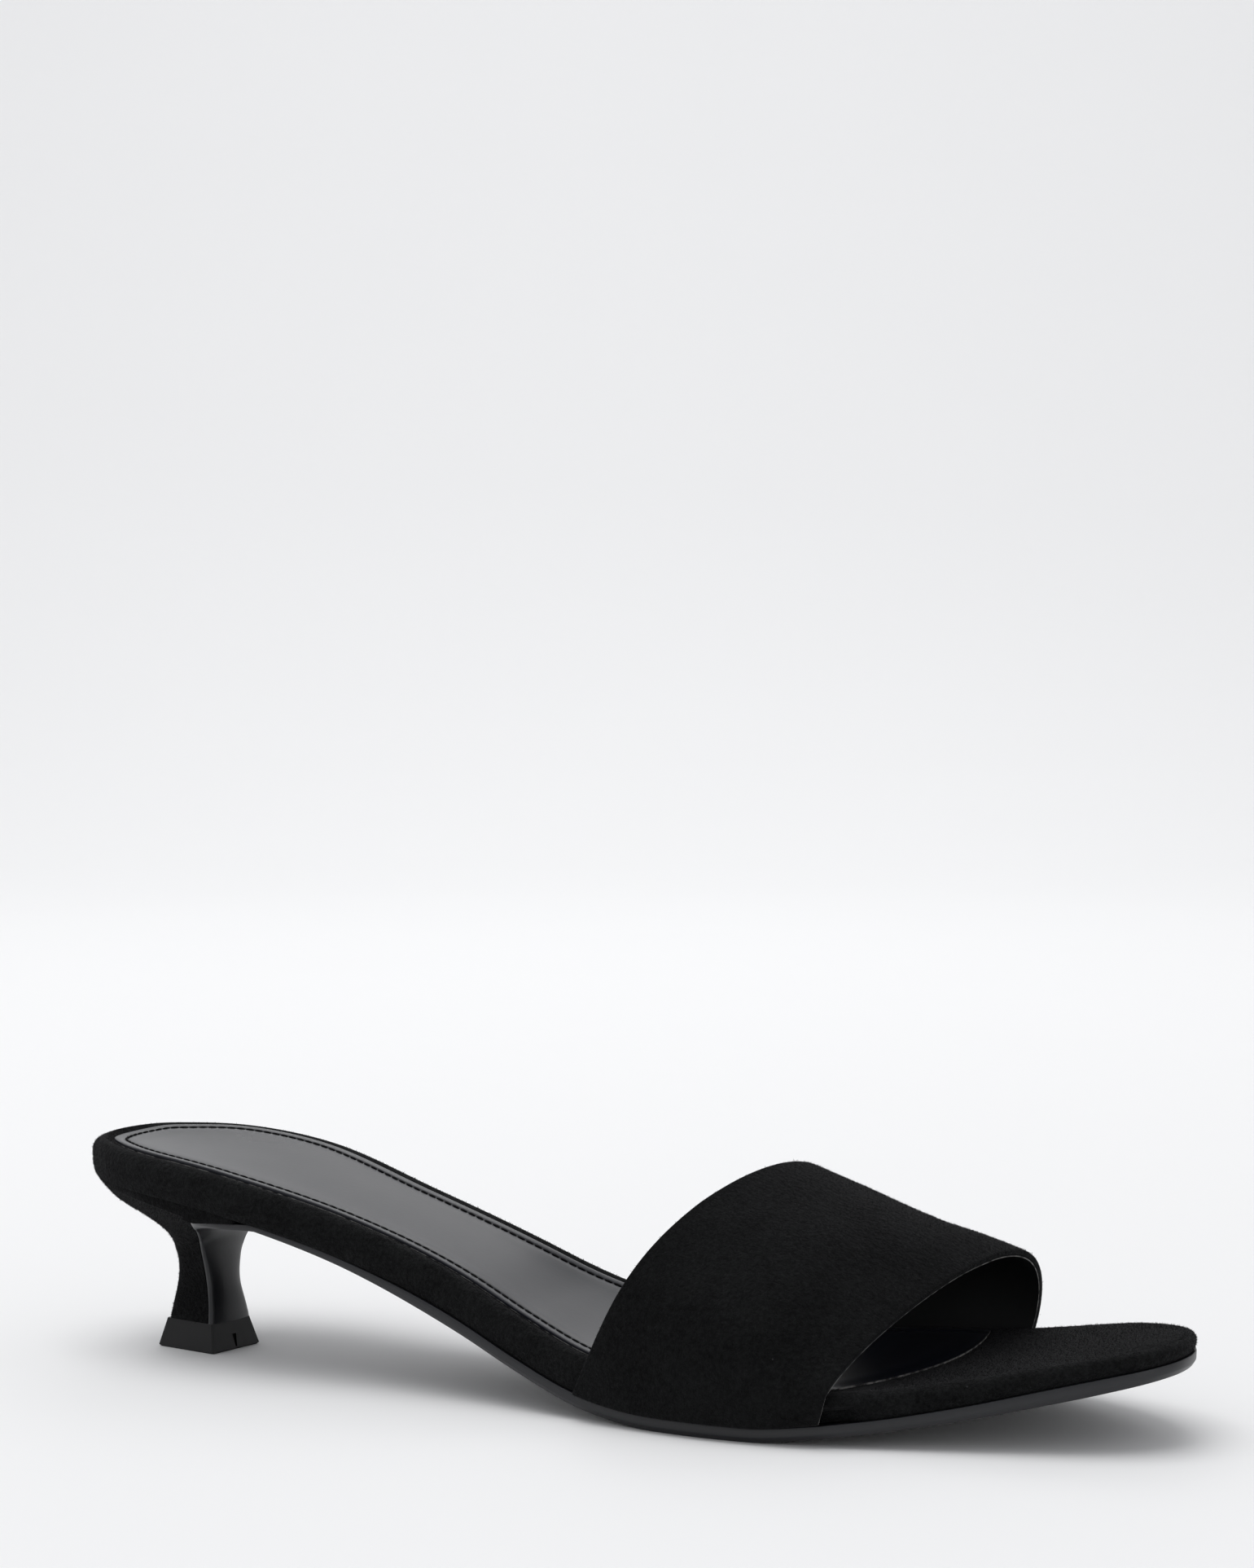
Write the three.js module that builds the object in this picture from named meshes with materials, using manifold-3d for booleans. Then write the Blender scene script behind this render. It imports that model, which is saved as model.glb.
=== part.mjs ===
// A right-foot mule on a small flared heel: a wrapped footbed with a sock, one wide band over the toes,
// an outsole that turns down the front of the heel, and a four-sided top piece.
// Millimetres, +Z up, +X from the heel to the toe, the outer side of the foot at -Y.
import * as THREE from "three";
import { mergeVertices } from "three/addons/utils/BufferGeometryUtils.js";
import Module from "manifold-3d";

const wasm = await Module();
wasm.setup();

// Driving sizes of the footbed and the sole
const LENGTH = 245;
const BALL_WIDTH = 74;
const HEEL_RISE = 37.6;
const TOE_SPRING = 15.4;
const FOOTBED_DEPTH = 7.4;
const SIDE_BULGE = 0.5;
const RIM_RADIUS = 2.2;
const SEAT_DISH = 1.2;
const SOLE_THICKNESS = 3;
const SOLE_MARGIN = 0.6;
const TAIL_INSET = 1.2;
const TAIL_BLEND = 60;
const SEAT_INSET = 0.6;
const SOCK_THICKNESS = 1;
const SOCK_MARGIN = 4.2;

// Driving sizes of the band over the toes
const BAND_HEIGHT = 48.9;
const BAND_WALL = 1.6;

// Driving sizes of the heel and its top piece
const HEEL_FROM_BACK = 22.9;
const HEEL_TURN = -11;
const HEEL_BASE_LENGTH = 13.2;
const HEEL_BASE_WIDTH = 11.4;
const BREAST_FROM_BACK = 36;
const WING_REACH = 14;
const WING_DEPTH = 3.5;
const COVER_THICKNESS = 1;
const TOP_PIECE_LENGTH = 16.4;
const TOP_PIECE_WIDTH = 15.2;
const TOP_PIECE_HEIGHT = 6.3;
const TOP_PIECE_FLARE = 1.45;
const NOTCH_WIDTH = 1.3;
const NOTCH_HEIGHT = 2.8;
const NOTCH_DEPTH = 0.6;

// Clearance between pieces that lie against each other
const CLEARANCE = 0.3;

// Footbed outline: station as a share of the length, both sides as shares of the ball's width
const OUTLINE = [
  { at: 0.01, outer: 0.178, inner: 0.132 },
  { at: 0.035, outer: 0.266, inner: 0.223 },
  { at: 0.08, outer: 0.345, inner: 0.312 },
  { at: 0.17, outer: 0.386, inner: 0.328 },
  { at: 0.29, outer: 0.353, inner: 0.251 },
  { at: 0.41, outer: 0.377, inner: 0.247 },
  { at: 0.53, outer: 0.436, inner: 0.378 },
  { at: 0.64, outer: 0.478, inner: 0.504 },
  { at: 0.73, outer: 0.453, inner: 0.536 },
  { at: 0.81, outer: 0.38, inner: 0.489 },
  { at: 0.88, outer: 0.311, inner: 0.416 },
  { at: 0.94, outer: 0.245, inner: 0.312 },
  { at: 0.98, outer: 0.168, inner: 0.189 },
  { at: 0.996, outer: 0.092, inner: 0.076 },
];
const HEEL_TIP = -0.03;
const TOE_TIP = -0.014;

// Side view: the sole's underside as shares of the heel rise and the toe spring,
// the footbed's depth and the sole's thickness as shares of their own sizes
const PROFILE = [
  { at: 0, rise: 1, spring: 0, depth: 0.98, sole: 0.43 },
  { at: 0.07, rise: 0.973, spring: 0, depth: 0.98, sole: 0.43 },
  { at: 0.17, rise: 0.891, spring: 0, depth: 0.98, sole: 0.43 },
  { at: 0.28, rise: 0.694, spring: 0, depth: 1, sole: 0.55 },
  { at: 0.4, rise: 0.394, spring: 0, depth: 1.01, sole: 0.93 },
  { at: 0.46, rise: 0.219, spring: 0, depth: 0.99, sole: 0.93 },
  { at: 0.52, rise: 0.074, spring: 0, depth: 0.96, sole: 0.93 },
  { at: 0.56, rise: 0.02, spring: 0, depth: 0.92, sole: 0.97 },
  { at: 0.6, rise: 0, spring: 0, depth: 0.88, sole: 1 },
  { at: 0.675, rise: 0, spring: 0, depth: 0.805, sole: 1 },
  { at: 0.73, rise: 0, spring: 0.09, depth: 0.75, sole: 0.95 },
  { at: 0.79, rise: 0, spring: 0.237, depth: 0.7, sole: 0.9 },
  { at: 0.84, rise: 0, spring: 0.39, depth: 0.64, sole: 0.95 },
  { at: 0.93, rise: 0, spring: 0.725, depth: 0.53, sole: 1.05 },
  { at: 1, rise: 0, spring: 1, depth: 0.43, sole: 0.9 },
];

// Band from its back edge to its front edge: both feet and the crest along the shoe as shares of the
// length, the crest's height as a share of the band's height, how pointed the arch is, and how far
// it leans over to the inner side
const BAND = [
  { at: 0, outer: 0.5225, inner: 0.584, crest: 0.634, height: 1, peak: 0.6, skew: 0.12 },
  { at: 0.5, outer: 0.6315, inner: 0.694, crest: 0.738, height: 0.795, peak: 0.76, skew: 0.14 },
  { at: 1, outer: 0.741, inner: 0.814, crest: 0.8045, height: 0.656, peak: 1.04, skew: 0.46 },
];

// Heel from its base up: the post's reach back and forward and its half width as shares of the base's
// half sizes, how square its back is, and how far the back and the front have flared out to the seat
const HEEL = [
  { at: 0, back: 1.04, front: 1, half: 1.08, square: 6, flareBack: 0, flareFront: 0 },
  { at: 0.1, back: 1, front: 0.95, half: 0.99, square: 4.5, flareBack: 0, flareFront: 0 },
  { at: 0.25, back: 0.91, front: 0.84, half: 0.88, square: 3.4, flareBack: 0, flareFront: 0 },
  { at: 0.45, back: 0.86, front: 0.72, half: 0.86, square: 2.8, flareBack: 0.04, flareFront: 0.03 },
  { at: 0.6, back: 0.86, front: 0.62, half: 0.86, square: 2.5, flareBack: 0.17, flareFront: 0.1 },
  { at: 0.73, back: 0.86, front: 0.58, half: 0.86, square: 2.3, flareBack: 0.47, flareFront: 0.22 },
  { at: 0.86, back: 0.86, front: 0.58, half: 0.86, square: 2.2, flareBack: 0.81, flareFront: 0.52 },
  { at: 1, back: 0.86, front: 0.58, half: 0.86, square: 2.1, flareBack: 1, flareFront: 1 },
];

// How far the heel's seat drops below the footbed, as a share of the wing's depth, from back to wing tip
const WING = [
  { at: 0, drop: 0.25 },
  { at: 0.55, drop: 0.6 },
  { at: 1, drop: 1 },
];

// Steps of the meshes
const STATIONS = 44;
const LID_COLUMNS = 6;
const BAND_STEPS = 14;
const BAND_ARCH_STEPS = 22;
const BAND_FOOT_STEPS = 3;
const HEEL_LEVELS = 18;
const HEEL_SIDE_STEPS = 12;
const BREAST_STEPS = 8;
const WELD = 1e-3;

// Reads a column of a table at any station, smoothly, and flat between equal values
function read(table, column, at) {
  const last = table.length - 1;
  const place = THREE.MathUtils.clamp(at, table[0].at, table[last].at);
  let row = 0;
  while (row < last - 1 && place > table[row + 1].at) row += 1;
  const secant = (i) => (table[i + 1][column] - table[i][column]) / (table[i + 1].at - table[i].at);
  const slope = (i) => {
    if (i === 0) return secant(0);
    if (i === last) return secant(last - 1);
    const before = secant(i - 1);
    const after = secant(i);
    if (before * after <= 0) return 0;
    const left = table[i].at - table[i - 1].at;
    const right = table[i + 1].at - table[i].at;
    return (before * right + after * left) / (left + right);
  };
  const span = table[row + 1].at - table[row].at;
  const u = (place - table[row].at) / span;
  const start = table[row][column] * (1 + 2 * u) * (1 - u) ** 2;
  const end = table[row + 1][column] * u * u * (3 - 2 * u);
  return start + end + span * (slope(row) * u * (1 - u) ** 2 - slope(row + 1) * u * u * (1 - u));
}

// Closed outline of the footbed, heel tip first, along the outer side to the toe and back
function outlineCurve() {
  const points = [new THREE.Vector3(0, HEEL_TIP * BALL_WIDTH, 0)];
  for (const row of OUTLINE) points.push(new THREE.Vector3(row.at * LENGTH, -row.outer * BALL_WIDTH, 0));
  points.push(new THREE.Vector3(LENGTH, TOE_TIP * BALL_WIDTH, 0));
  for (const row of [...OUTLINE].reverse()) {
    points.push(new THREE.Vector3(row.at * LENGTH, row.inner * BALL_WIDTH, 0));
  }
  return new THREE.CatmullRomCurve3(points, true, "centripetal");
}

const CURVE_STEPS = 1200;
const outlinePoints = outlineCurve().getPoints(CURVE_STEPS);
const tipIndex = CURVE_STEPS / 2;
const outerSide = outlinePoints.slice(0, tipIndex + 1);
const innerSide = outlinePoints.slice(tipIndex).reverse();

// Height across the shoe of one side of the outline at a place along it
function sideAt(side, x) {
  let i = 1;
  while (i < side.length - 1 && side[i].x < x) i += 1;
  const span = Math.max(side[i].x - side[i - 1].x, 1e-9);
  const share = THREE.MathUtils.clamp((x - side[i - 1].x) / span, 0, 1);
  return THREE.MathUtils.lerp(side[i - 1].y, side[i].y, share);
}

// Levels along the shoe
const soleBottom = (x) => {
  const at = x / LENGTH;
  return HEEL_RISE * read(PROFILE, "rise", at) + TOE_SPRING * read(PROFILE, "spring", at);
};
const soleThickness = (x) => SOLE_THICKNESS * read(PROFILE, "sole", x / LENGTH);
const footbedBottom = (x) => soleBottom(x) + soleThickness(x) + CLEARANCE;
const footbedDepth = (x) => FOOTBED_DEPTH * read(PROFILE, "depth", x / LENGTH);
const footbedTop = (x) => footbedBottom(x) + footbedDepth(x);
const rimRadius = (x) => Math.min(RIM_RADIUS, 0.45 * footbedDepth(x));

// Drop from the footbed to the seat line, where the heel's wings lie between footbed and sole
function wingDrop(x) {
  if (x < BREAST_FROM_BACK) return WING_DEPTH * read(WING, "drop", x / BREAST_FROM_BACK);
  return WING_DEPTH * Math.max(0, 1 - (x - BREAST_FROM_BACK) / WING_REACH);
}
const seatLine = (x) => footbedBottom(x) - wingDrop(x);

// Stations, close together at both tips, and the outline sampled at them with its outward directions
const stationAt = (i) => (LENGTH * (1 - Math.cos((Math.PI * i) / STATIONS))) / 2;
function sampledOutline() {
  const points = [outerSide[0].clone()];
  for (let i = 1; i < STATIONS; i += 1) {
    points.push(new THREE.Vector3(stationAt(i), sideAt(outerSide, stationAt(i)), 0));
  }
  points.push(outerSide[tipIndex].clone());
  for (let i = STATIONS - 1; i > 0; i -= 1) {
    points.push(new THREE.Vector3(stationAt(i), sideAt(innerSide, stationAt(i)), 0));
  }
  return points;
}
const outline = sampledOutline();
const outward = outline.map((point, i) => {
  const next = outline[(i + 1) % outline.length];
  const before = outline[(i + outline.length - 1) % outline.length];
  return new THREE.Vector3(next.y - before.y, before.x - next.x, 0).normalize();
});

// Ring round the footbed, moved in from the outline by a distance that may change along the shoe
function ring(insetAt, heightAt) {
  return outline.map((point, i) => {
    const moved = point.clone().addScaledVector(outward[i], -insetAt(point.x));
    moved.z = heightAt(THREE.MathUtils.clamp(moved.x, 0, LENGTH), moved.y);
    return moved;
  });
}

// Two triangles over four corners, counterclockwise from outside
const quad = (a, b, c, d) => [[a, b, c], [a, c, d]];

// Wall between a lower and an upper closed ring
function wall(lower, upper) {
  return lower.flatMap((point, i) => {
    const j = (i + 1) % lower.length;
    return quad(point, lower[j], upper[j], upper[i]);
  });
}

// Lid over a ring of the footbed's outline, with columns across that follow a height
function lid(edge, columns, heightAt) {
  const count = edge.length;
  const row = (i) => Array.from({ length: columns + 1 }, (_, c) => {
    const outer = edge[i];
    const inner = edge[(count - i) % count];
    if (c === 0) return outer;
    if (c === columns) return inner;
    const point = outer.clone().lerp(inner, c / columns);
    point.z = heightAt(point.x, point.y);
    return point;
  });
  const triangles = [];
  for (let i = 0; i < count / 2; i += 1) {
    const here = i === 0 ? Array(columns + 1).fill(edge[0]) : row(i);
    const next = i + 1 === count / 2 ? Array(columns + 1).fill(edge[count / 2]) : row(i + 1);
    for (let c = 0; c < columns; c += 1) triangles.push(...quad(here[c], next[c], next[c + 1], here[c + 1]));
  }
  return triangles;
}
const flipped = (triangles) => triangles.map(([a, b, c]) => [a, c, b]);

// Closed shell between an upper and a lower grid of the same rows and columns
function shell(upper, lower) {
  const triangles = [];
  const rows = upper.length;
  const columns = upper[0].length;
  for (let r = 0; r + 1 < rows; r += 1) {
    for (let c = 0; c + 1 < columns; c += 1) {
      triangles.push(...quad(upper[r][c], upper[r + 1][c], upper[r + 1][c + 1], upper[r][c + 1]));
      triangles.push(...quad(lower[r][c], lower[r][c + 1], lower[r + 1][c + 1], lower[r + 1][c]));
    }
    const far = columns - 1;
    triangles.push(...quad(lower[r][0], lower[r + 1][0], upper[r + 1][0], upper[r][0]));
    triangles.push(...quad(upper[r][far], upper[r + 1][far], lower[r + 1][far], lower[r][far]));
  }
  for (let c = 0; c + 1 < columns; c += 1) {
    const end = rows - 1;
    triangles.push(...quad(upper[0][c], upper[0][c + 1], lower[0][c + 1], lower[0][c]));
    triangles.push(...quad(lower[end][c], lower[end][c + 1], upper[end][c + 1], upper[end][c]));
  }
  return triangles;
}

// Geometry with shared corners and no collapsed triangles
function weld(triangles) {
  const loose = new THREE.BufferGeometry().setFromPoints(triangles.flat());
  const merged = mergeVertices(loose, WELD);
  const kept = [];
  for (let i = 0; i < merged.index.count; i += 3) {
    const [a, b, c] = [0, 1, 2].map((k) => merged.index.getX(i + k));
    if (a !== b && b !== c && c !== a) kept.push(a, b, c);
  }
  merged.setIndex(kept);
  return merged;
}

// To a solid that can be cut and joined, and back
function toSolid(geometry) {
  const bare = geometry.clone();
  bare.deleteAttribute("normal");
  bare.deleteAttribute("uv");
  const merged = mergeVertices(bare, WELD);
  const triVerts = Uint32Array.from(merged.index.array);
  const vertProperties = Float32Array.from(merged.attributes.position.array);
  return new wasm.Manifold(new wasm.Mesh({ numProp: 3, vertProperties, triVerts }));
}
function toGeometry(solid) {
  const mesh = solid.getMesh();
  const geometry = new THREE.BufferGeometry();
  geometry.setAttribute("position", new THREE.BufferAttribute(mesh.vertProperties, 3));
  geometry.setIndex(new THREE.BufferAttribute(mesh.triVerts, 1));
  return geometry;
}

// Upright block with a given outline, from one level to another
function block(points, bottom, top) {
  const shape = new THREE.Shape(points);
  const geometry = new THREE.ExtrudeGeometry(shape, { depth: top - bottom, bevelEnabled: false });
  return geometry.translate(0, 0, bottom);
}

// Footbed's upper surface: highest on the rim's roll, lightly dished between
function footbedSurface(x, y) {
  const margin = rimRadius(x);
  const outer = sideAt(outerSide, x) + margin;
  const inner = sideAt(innerSide, x) - margin;
  const half = Math.max((inner - outer) / 2, margin);
  const share = THREE.MathUtils.clamp((y - (inner + outer) / 2) / half, -1, 1);
  return footbedTop(x) - SEAT_DISH * Math.min(1, half / (BALL_WIDTH / 4)) * (1 - share * share);
}

// Footbed: insole board and padding wrapped in suede, with a rounded rim
function footbedGeometry() {
  const level = (share) => (x) => footbedBottom(x) + share * footbedDepth(x);
  const roll = (angle) => ring(
    (x) => rimRadius(x) * (1 - Math.cos(angle)),
    (x) => footbedTop(x) - rimRadius(x) * (1 - Math.sin(angle)),
  );
  const rings = [
    ring(() => SEAT_INSET, level(0)),
    ring(() => -0.5 * SIDE_BULGE, level(0.18)),
    ring(() => -SIDE_BULGE, level(0.42)),
    roll(0),
    roll(Math.PI / 6),
    roll(Math.PI / 3),
    roll(Math.PI / 2),
  ];
  const triangles = flipped(lid(rings[0], 1, footbedBottom));
  for (let i = 0; i + 1 < rings.length; i += 1) triangles.push(...wall(rings[i], rings[i + 1]));
  triangles.push(...lid(rings[rings.length - 1], LID_COLUMNS, footbedSurface));
  return weld(triangles);
}

// Sock's front edge under the band, from the outer to the inner side, bowed towards the toe
const SOCK_FRONT = { outer: 0.72, inner: 0.78, bow: 0.037 };
function sockFront(steps) {
  const outerX = SOCK_FRONT.outer * LENGTH;
  const innerX = SOCK_FRONT.inner * LENGTH;
  const from = sideAt(outerSide, outerX);
  const to = sideAt(innerSide, innerX);
  return Array.from({ length: steps + 1 }, (_, i) => {
    const share = i / steps;
    const bow = SOCK_FRONT.bow * LENGTH * 4 * share * (1 - share);
    const x = THREE.MathUtils.lerp(outerX, innerX, share) + bow;
    return new THREE.Vector2(x, THREE.MathUtils.lerp(from, to, share));
  });
}

// Sock: thin lining glued on the footbed, stopping short of the rim and under the band's front
function sockGeometry() {
  const surface = (lift) => (x, y) => footbedSurface(x, y) + CLEARANCE + lift;
  const bottom = ring(() => SOCK_MARGIN, surface(0));
  const side = ring(() => SOCK_MARGIN, surface(0.65 * SOCK_THICKNESS));
  const top = ring(() => SOCK_MARGIN + 0.35 * SOCK_THICKNESS, surface(SOCK_THICKNESS));
  const triangles = flipped(lid(bottom, LID_COLUMNS, surface(0)));
  triangles.push(...wall(bottom, side), ...wall(side, top));
  triangles.push(...lid(top, LID_COLUMNS, surface(SOCK_THICKNESS)));
  const front = sockFront(12);
  const beyond = [new THREE.Vector2(2 * LENGTH, BALL_WIDTH), new THREE.Vector2(2 * LENGTH, -BALL_WIDTH)];
  const cutter = block([...front, ...beyond], -LENGTH, LENGTH);
  return toGeometry(toSolid(weld(triangles)).subtract(toSolid(cutter)));
}

// Axes of the heel: turned about its post
const heelCentre = new THREE.Vector3(HEEL_FROM_BACK, 0, 0);
heelCentre.y = (sideAt(outerSide, HEEL_FROM_BACK) + sideAt(innerSide, HEEL_FROM_BACK)) / 2;
const heelTurn = THREE.MathUtils.degToRad(HEEL_TURN);
const upAxis = new THREE.Vector3(0, 0, 1);
function onHeel(along, across) {
  return new THREE.Vector3(along, across, 0).applyAxisAngle(upAxis, heelTurn).add(heelCentre);
}

// Rounded part of the heel's side, as a share of the way from the back to the breast
const BACK_SHARE = 0.75;
const HEEL_BOTTOM = TOP_PIECE_HEIGHT + CLEARANCE;

// What the sole's turned-down tail adds in front of the heel
const COVER_BUILD = CLEARANCE + COVER_THICKNESS;

// Point of the heel's side: way 0 at the back to 1 at the breast, up 0 at the base to 1 at the seat
function heelSide(side, way, up) {
  const angle = Math.min(way / BACK_SHARE, 1) * (Math.PI / 2);
  const forward = Math.max(way - BACK_SHARE, 0) / (1 - BACK_SHARE);
  const power = 2 / read(HEEL, "square", up);
  const sign = side === outerSide ? -1 : 1;
  const back = read(HEEL, "back", up) * (HEEL_BASE_LENGTH / 2);
  const front = read(HEEL, "front", up) * (HEEL_BASE_LENGTH / 2) - COVER_BUILD;
  const half = read(HEEL, "half", up) * (HEEL_BASE_WIDTH / 2);
  const along = forward > 0 ? front * forward : -back * Math.cos(angle) ** power;
  const post = onHeel(along, sign * half * Math.sin(angle) ** power);
  const seatX = forward > 0
    ? THREE.MathUtils.lerp(HEEL_FROM_BACK, BREAST_FROM_BACK - COVER_BUILD, forward)
    : HEEL_FROM_BACK * (1 - Math.cos(angle));
  const seat = new THREE.Vector3(seatX, sideAt(side, seatX), 0);
  const inset = outwardAt(side, seatX).multiplyScalar(-SEAT_INSET);
  seat.add(inset);
  const flare = THREE.MathUtils.lerp(read(HEEL, "flareBack", up), read(HEEL, "flareFront", up), way ** 2);
  const point = post.lerp(seat, flare);
  point.z = THREE.MathUtils.lerp(HEEL_BOTTOM, seatLine(Math.max(seat.x, 0)) + CLEARANCE, up);
  return point;
}

// Outward direction of one side of the outline
function outwardAt(side, x) {
  const step = 0.4;
  const from = Math.max(x - step, 0);
  const rise = sideAt(side, x + step) - sideAt(side, from);
  const run = x + step - from;
  const sign = side === outerSide ? 1 : -1;
  return new THREE.Vector3(sign * rise, -sign * run, 0).normalize();
}

// Point of the heel's breast, across -1 at the outer side to 1 at the inner side
function breastPoint(across, up) {
  const outer = heelSide(outerSide, 1, up);
  const inner = heelSide(innerSide, 1, up);
  return outer.lerp(inner, (across + 1) / 2);
}

// Closed section of the heel at one level, counterclockwise from the back
function heelSection(up) {
  const points = [];
  for (let i = 0; i <= HEEL_SIDE_STEPS; i += 1) points.push(heelSide(outerSide, i / HEEL_SIDE_STEPS, up));
  for (let i = 1; i < BREAST_STEPS; i += 1) points.push(breastPoint((2 * i) / BREAST_STEPS - 1, up));
  for (let i = HEEL_SIDE_STEPS; i > 0; i -= 1) points.push(heelSide(innerSide, i / HEEL_SIDE_STEPS, up));
  return points;
}

// Fan from a middle point to a closed section
function cap(section) {
  const middle = section.reduce((sum, point) => sum.add(point), new THREE.Vector3());
  middle.divideScalar(section.length);
  return section.map((point, i) => [middle, point, section[(i + 1) % section.length]]);
}

// Strips from side to side over the heel's seat, so that it follows the seat line
function seatCap(section) {
  const inner = (i) => section[(section.length - i) % section.length];
  const triangles = [];
  for (let i = 0; i + 1 < HEEL_SIDE_STEPS; i += 1) {
    triangles.push(...quad(section[i], section[i + 1], inner(i + 1), inner(i)));
  }
  const last = HEEL_SIDE_STEPS - 1;
  for (let i = last + 1; i < section.length - last; i += 1) {
    triangles.push([section[last], section[i], section[i + 1]]);
  }
  return triangles;
}

// Wings: the wedge of the heel between the footbed and the sole, running forward along the seat
const WING_END = BREAST_FROM_BACK + 0.7 * WING_REACH;
const WING_BITE = 0.4;
function wingSolid() {
  const top = (x) => footbedBottom(x) - CLEARANCE;
  const floor = (x) => {
    const bite = x < BREAST_FROM_BACK - 2 * COVER_BUILD ? WING_BITE : 0;
    return Math.min(seatLine(x) + CLEARANCE - bite, top(x) - CLEARANCE / 3);
  };
  const lower = ring(() => SEAT_INSET, floor);
  const upper = ring(() => SEAT_INSET, top);
  const triangles = flipped(lid(lower, 1, seatLine));
  triangles.push(...wall(lower, upper), ...lid(upper, 1, seatLine));
  const half = BALL_WIDTH;
  const keep = block([
    new THREE.Vector2(-half, -half),
    new THREE.Vector2(WING_END, -half),
    new THREE.Vector2(WING_END, half),
    new THREE.Vector2(-half, half),
  ], -LENGTH, LENGTH);
  return toSolid(weld(triangles)).intersect(toSolid(keep));
}

// Heel: a post that flares into the seat, wrapped in suede
function heelGeometry() {
  const levels = Array.from({ length: HEEL_LEVELS + 1 }, (_, i) => heelSection(i / HEEL_LEVELS));
  const triangles = flipped(cap(levels[0]));
  for (let i = 0; i < HEEL_LEVELS; i += 1) triangles.push(...wall(levels[i], levels[i + 1]));
  triangles.push(...seatCap(levels[HEEL_LEVELS]));
  return toGeometry(toSolid(weld(triangles)).add(wingSolid()));
}

// Sheet down the breast, from just above the top piece to the sole's tail
function breastSheet() {
  const near = [];
  const far = [];
  const step = 0.01;
  for (let c = 0; c <= BREAST_STEPS; c += 1) {
    const across = (2 * c) / BREAST_STEPS - 1;
    const nearRow = [];
    const farRow = [];
    for (let r = 0; r <= HEEL_LEVELS; r += 1) {
      const up = r / HEEL_LEVELS;
      const point = breastPoint(across, up);
      const rise = breastPoint(across, Math.min(up + step, 1)).sub(breastPoint(across, Math.max(up - step, 0)));
      const side = breastPoint(1, up).sub(breastPoint(-1, up));
      const normal = side.cross(rise).normalize();
      nearRow.push(point.clone().addScaledVector(normal, CLEARANCE));
      farRow.push(point.clone().addScaledVector(normal, CLEARANCE + COVER_THICKNESS));
    }
    near.push(nearRow);
    far.push(farRow);
  }
  return toSolid(weld(shell(far, near)));
}

// Outsole: a thin sheet from the toe to the breast, turned down the front of the heel
function outsoleGeometry() {
  const level = (share) => (x) => seatLine(x) - CLEARANCE - share * soleThickness(x);
  const top = ring(soleInset, level(0));
  const edge = ring(soleInset, level(0.75));
  const bottom = ring((x) => soleInset(x) + 0.15 * SOLE_THICKNESS, level(1));
  const triangles = flipped(lid(bottom, 1, level(1)));
  triangles.push(...wall(bottom, edge), ...wall(edge, top), ...lid(top, 1, seatLine));
  const half = BALL_WIDTH;
  const tail = BREAST_FROM_BACK - COVER_THICKNESS / 2;
  const keep = block([
    new THREE.Vector2(tail, -half),
    new THREE.Vector2(2 * LENGTH, -half),
    new THREE.Vector2(2 * LENGTH, half),
    new THREE.Vector2(tail, half),
  ], -LENGTH, LENGTH);
  const sheet = toSolid(weld(triangles)).intersect(toSolid(keep));
  return toGeometry(sheet.add(breastSheet()));
}

// The sole stands out past the footbed, and draws in where its tail meets the heel
function soleInset(x) {
  const share = THREE.MathUtils.smoothstep(x, BREAST_FROM_BACK, BREAST_FROM_BACK + TAIL_BLEND);
  return THREE.MathUtils.lerp(TAIL_INSET, -SOLE_MARGIN, share);
}

// Band's outer surface: along 0 at the back edge to 1 at the front, over 0 at the outer foot to 1 at the inner
function bandPoint(along, over) {
  const footShare = BAND_FOOT_STEPS / (BAND_ARCH_STEPS + 2 * BAND_FOOT_STEPS);
  const arch = THREE.MathUtils.clamp((over - footShare) / (1 - 2 * footShare), 0, 1);
  const climb = Math.min(over, 1 - over, footShare) / footShare;
  const angle = Math.PI * arch;
  const across = (1 - Math.cos(angle)) / 2;
  const leaning = angle - read(BAND, "skew", along) * Math.sin(angle);
  const lift = Math.max(Math.sin(leaning), 0) ** read(BAND, "peak", along);
  const outerX = read(BAND, "outer", along) * LENGTH;
  const innerX = read(BAND, "inner", along) * LENGTH;
  const crestX = read(BAND, "crest", along) * LENGTH;
  const crestZ = read(BAND, "height", along) * BAND_HEIGHT;
  const mix = (level) => THREE.MathUtils.lerp(level(outerX), level(innerX), across);
  const foot = mix(footbedBottom);
  const rim = mix(footbedTop);
  const z = THREE.MathUtils.lerp(THREE.MathUtils.lerp(foot, rim, climb), crestZ, lift);
  const lean = Math.max((z - foot) / (crestZ - foot), 0);
  const reach = (crestX - (outerX + innerX) / 2) * lean;
  const outerY = footY(outerSide, outerX + reach * (1 - lift));
  const innerY = footY(innerSide, innerX + reach * (1 - lift));
  const x = THREE.MathUtils.lerp(outerX, innerX, across) + reach;
  return new THREE.Vector3(x, THREE.MathUtils.lerp(outerY, innerY, across), z);
}

// Where the band's outer face stands beside the footbed
function footY(side, x) {
  const facing = outwardAt(side, x).y;
  return sideAt(side, x) + (SIDE_BULGE + CLEARANCE + BAND_WALL) / facing;
}

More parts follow.
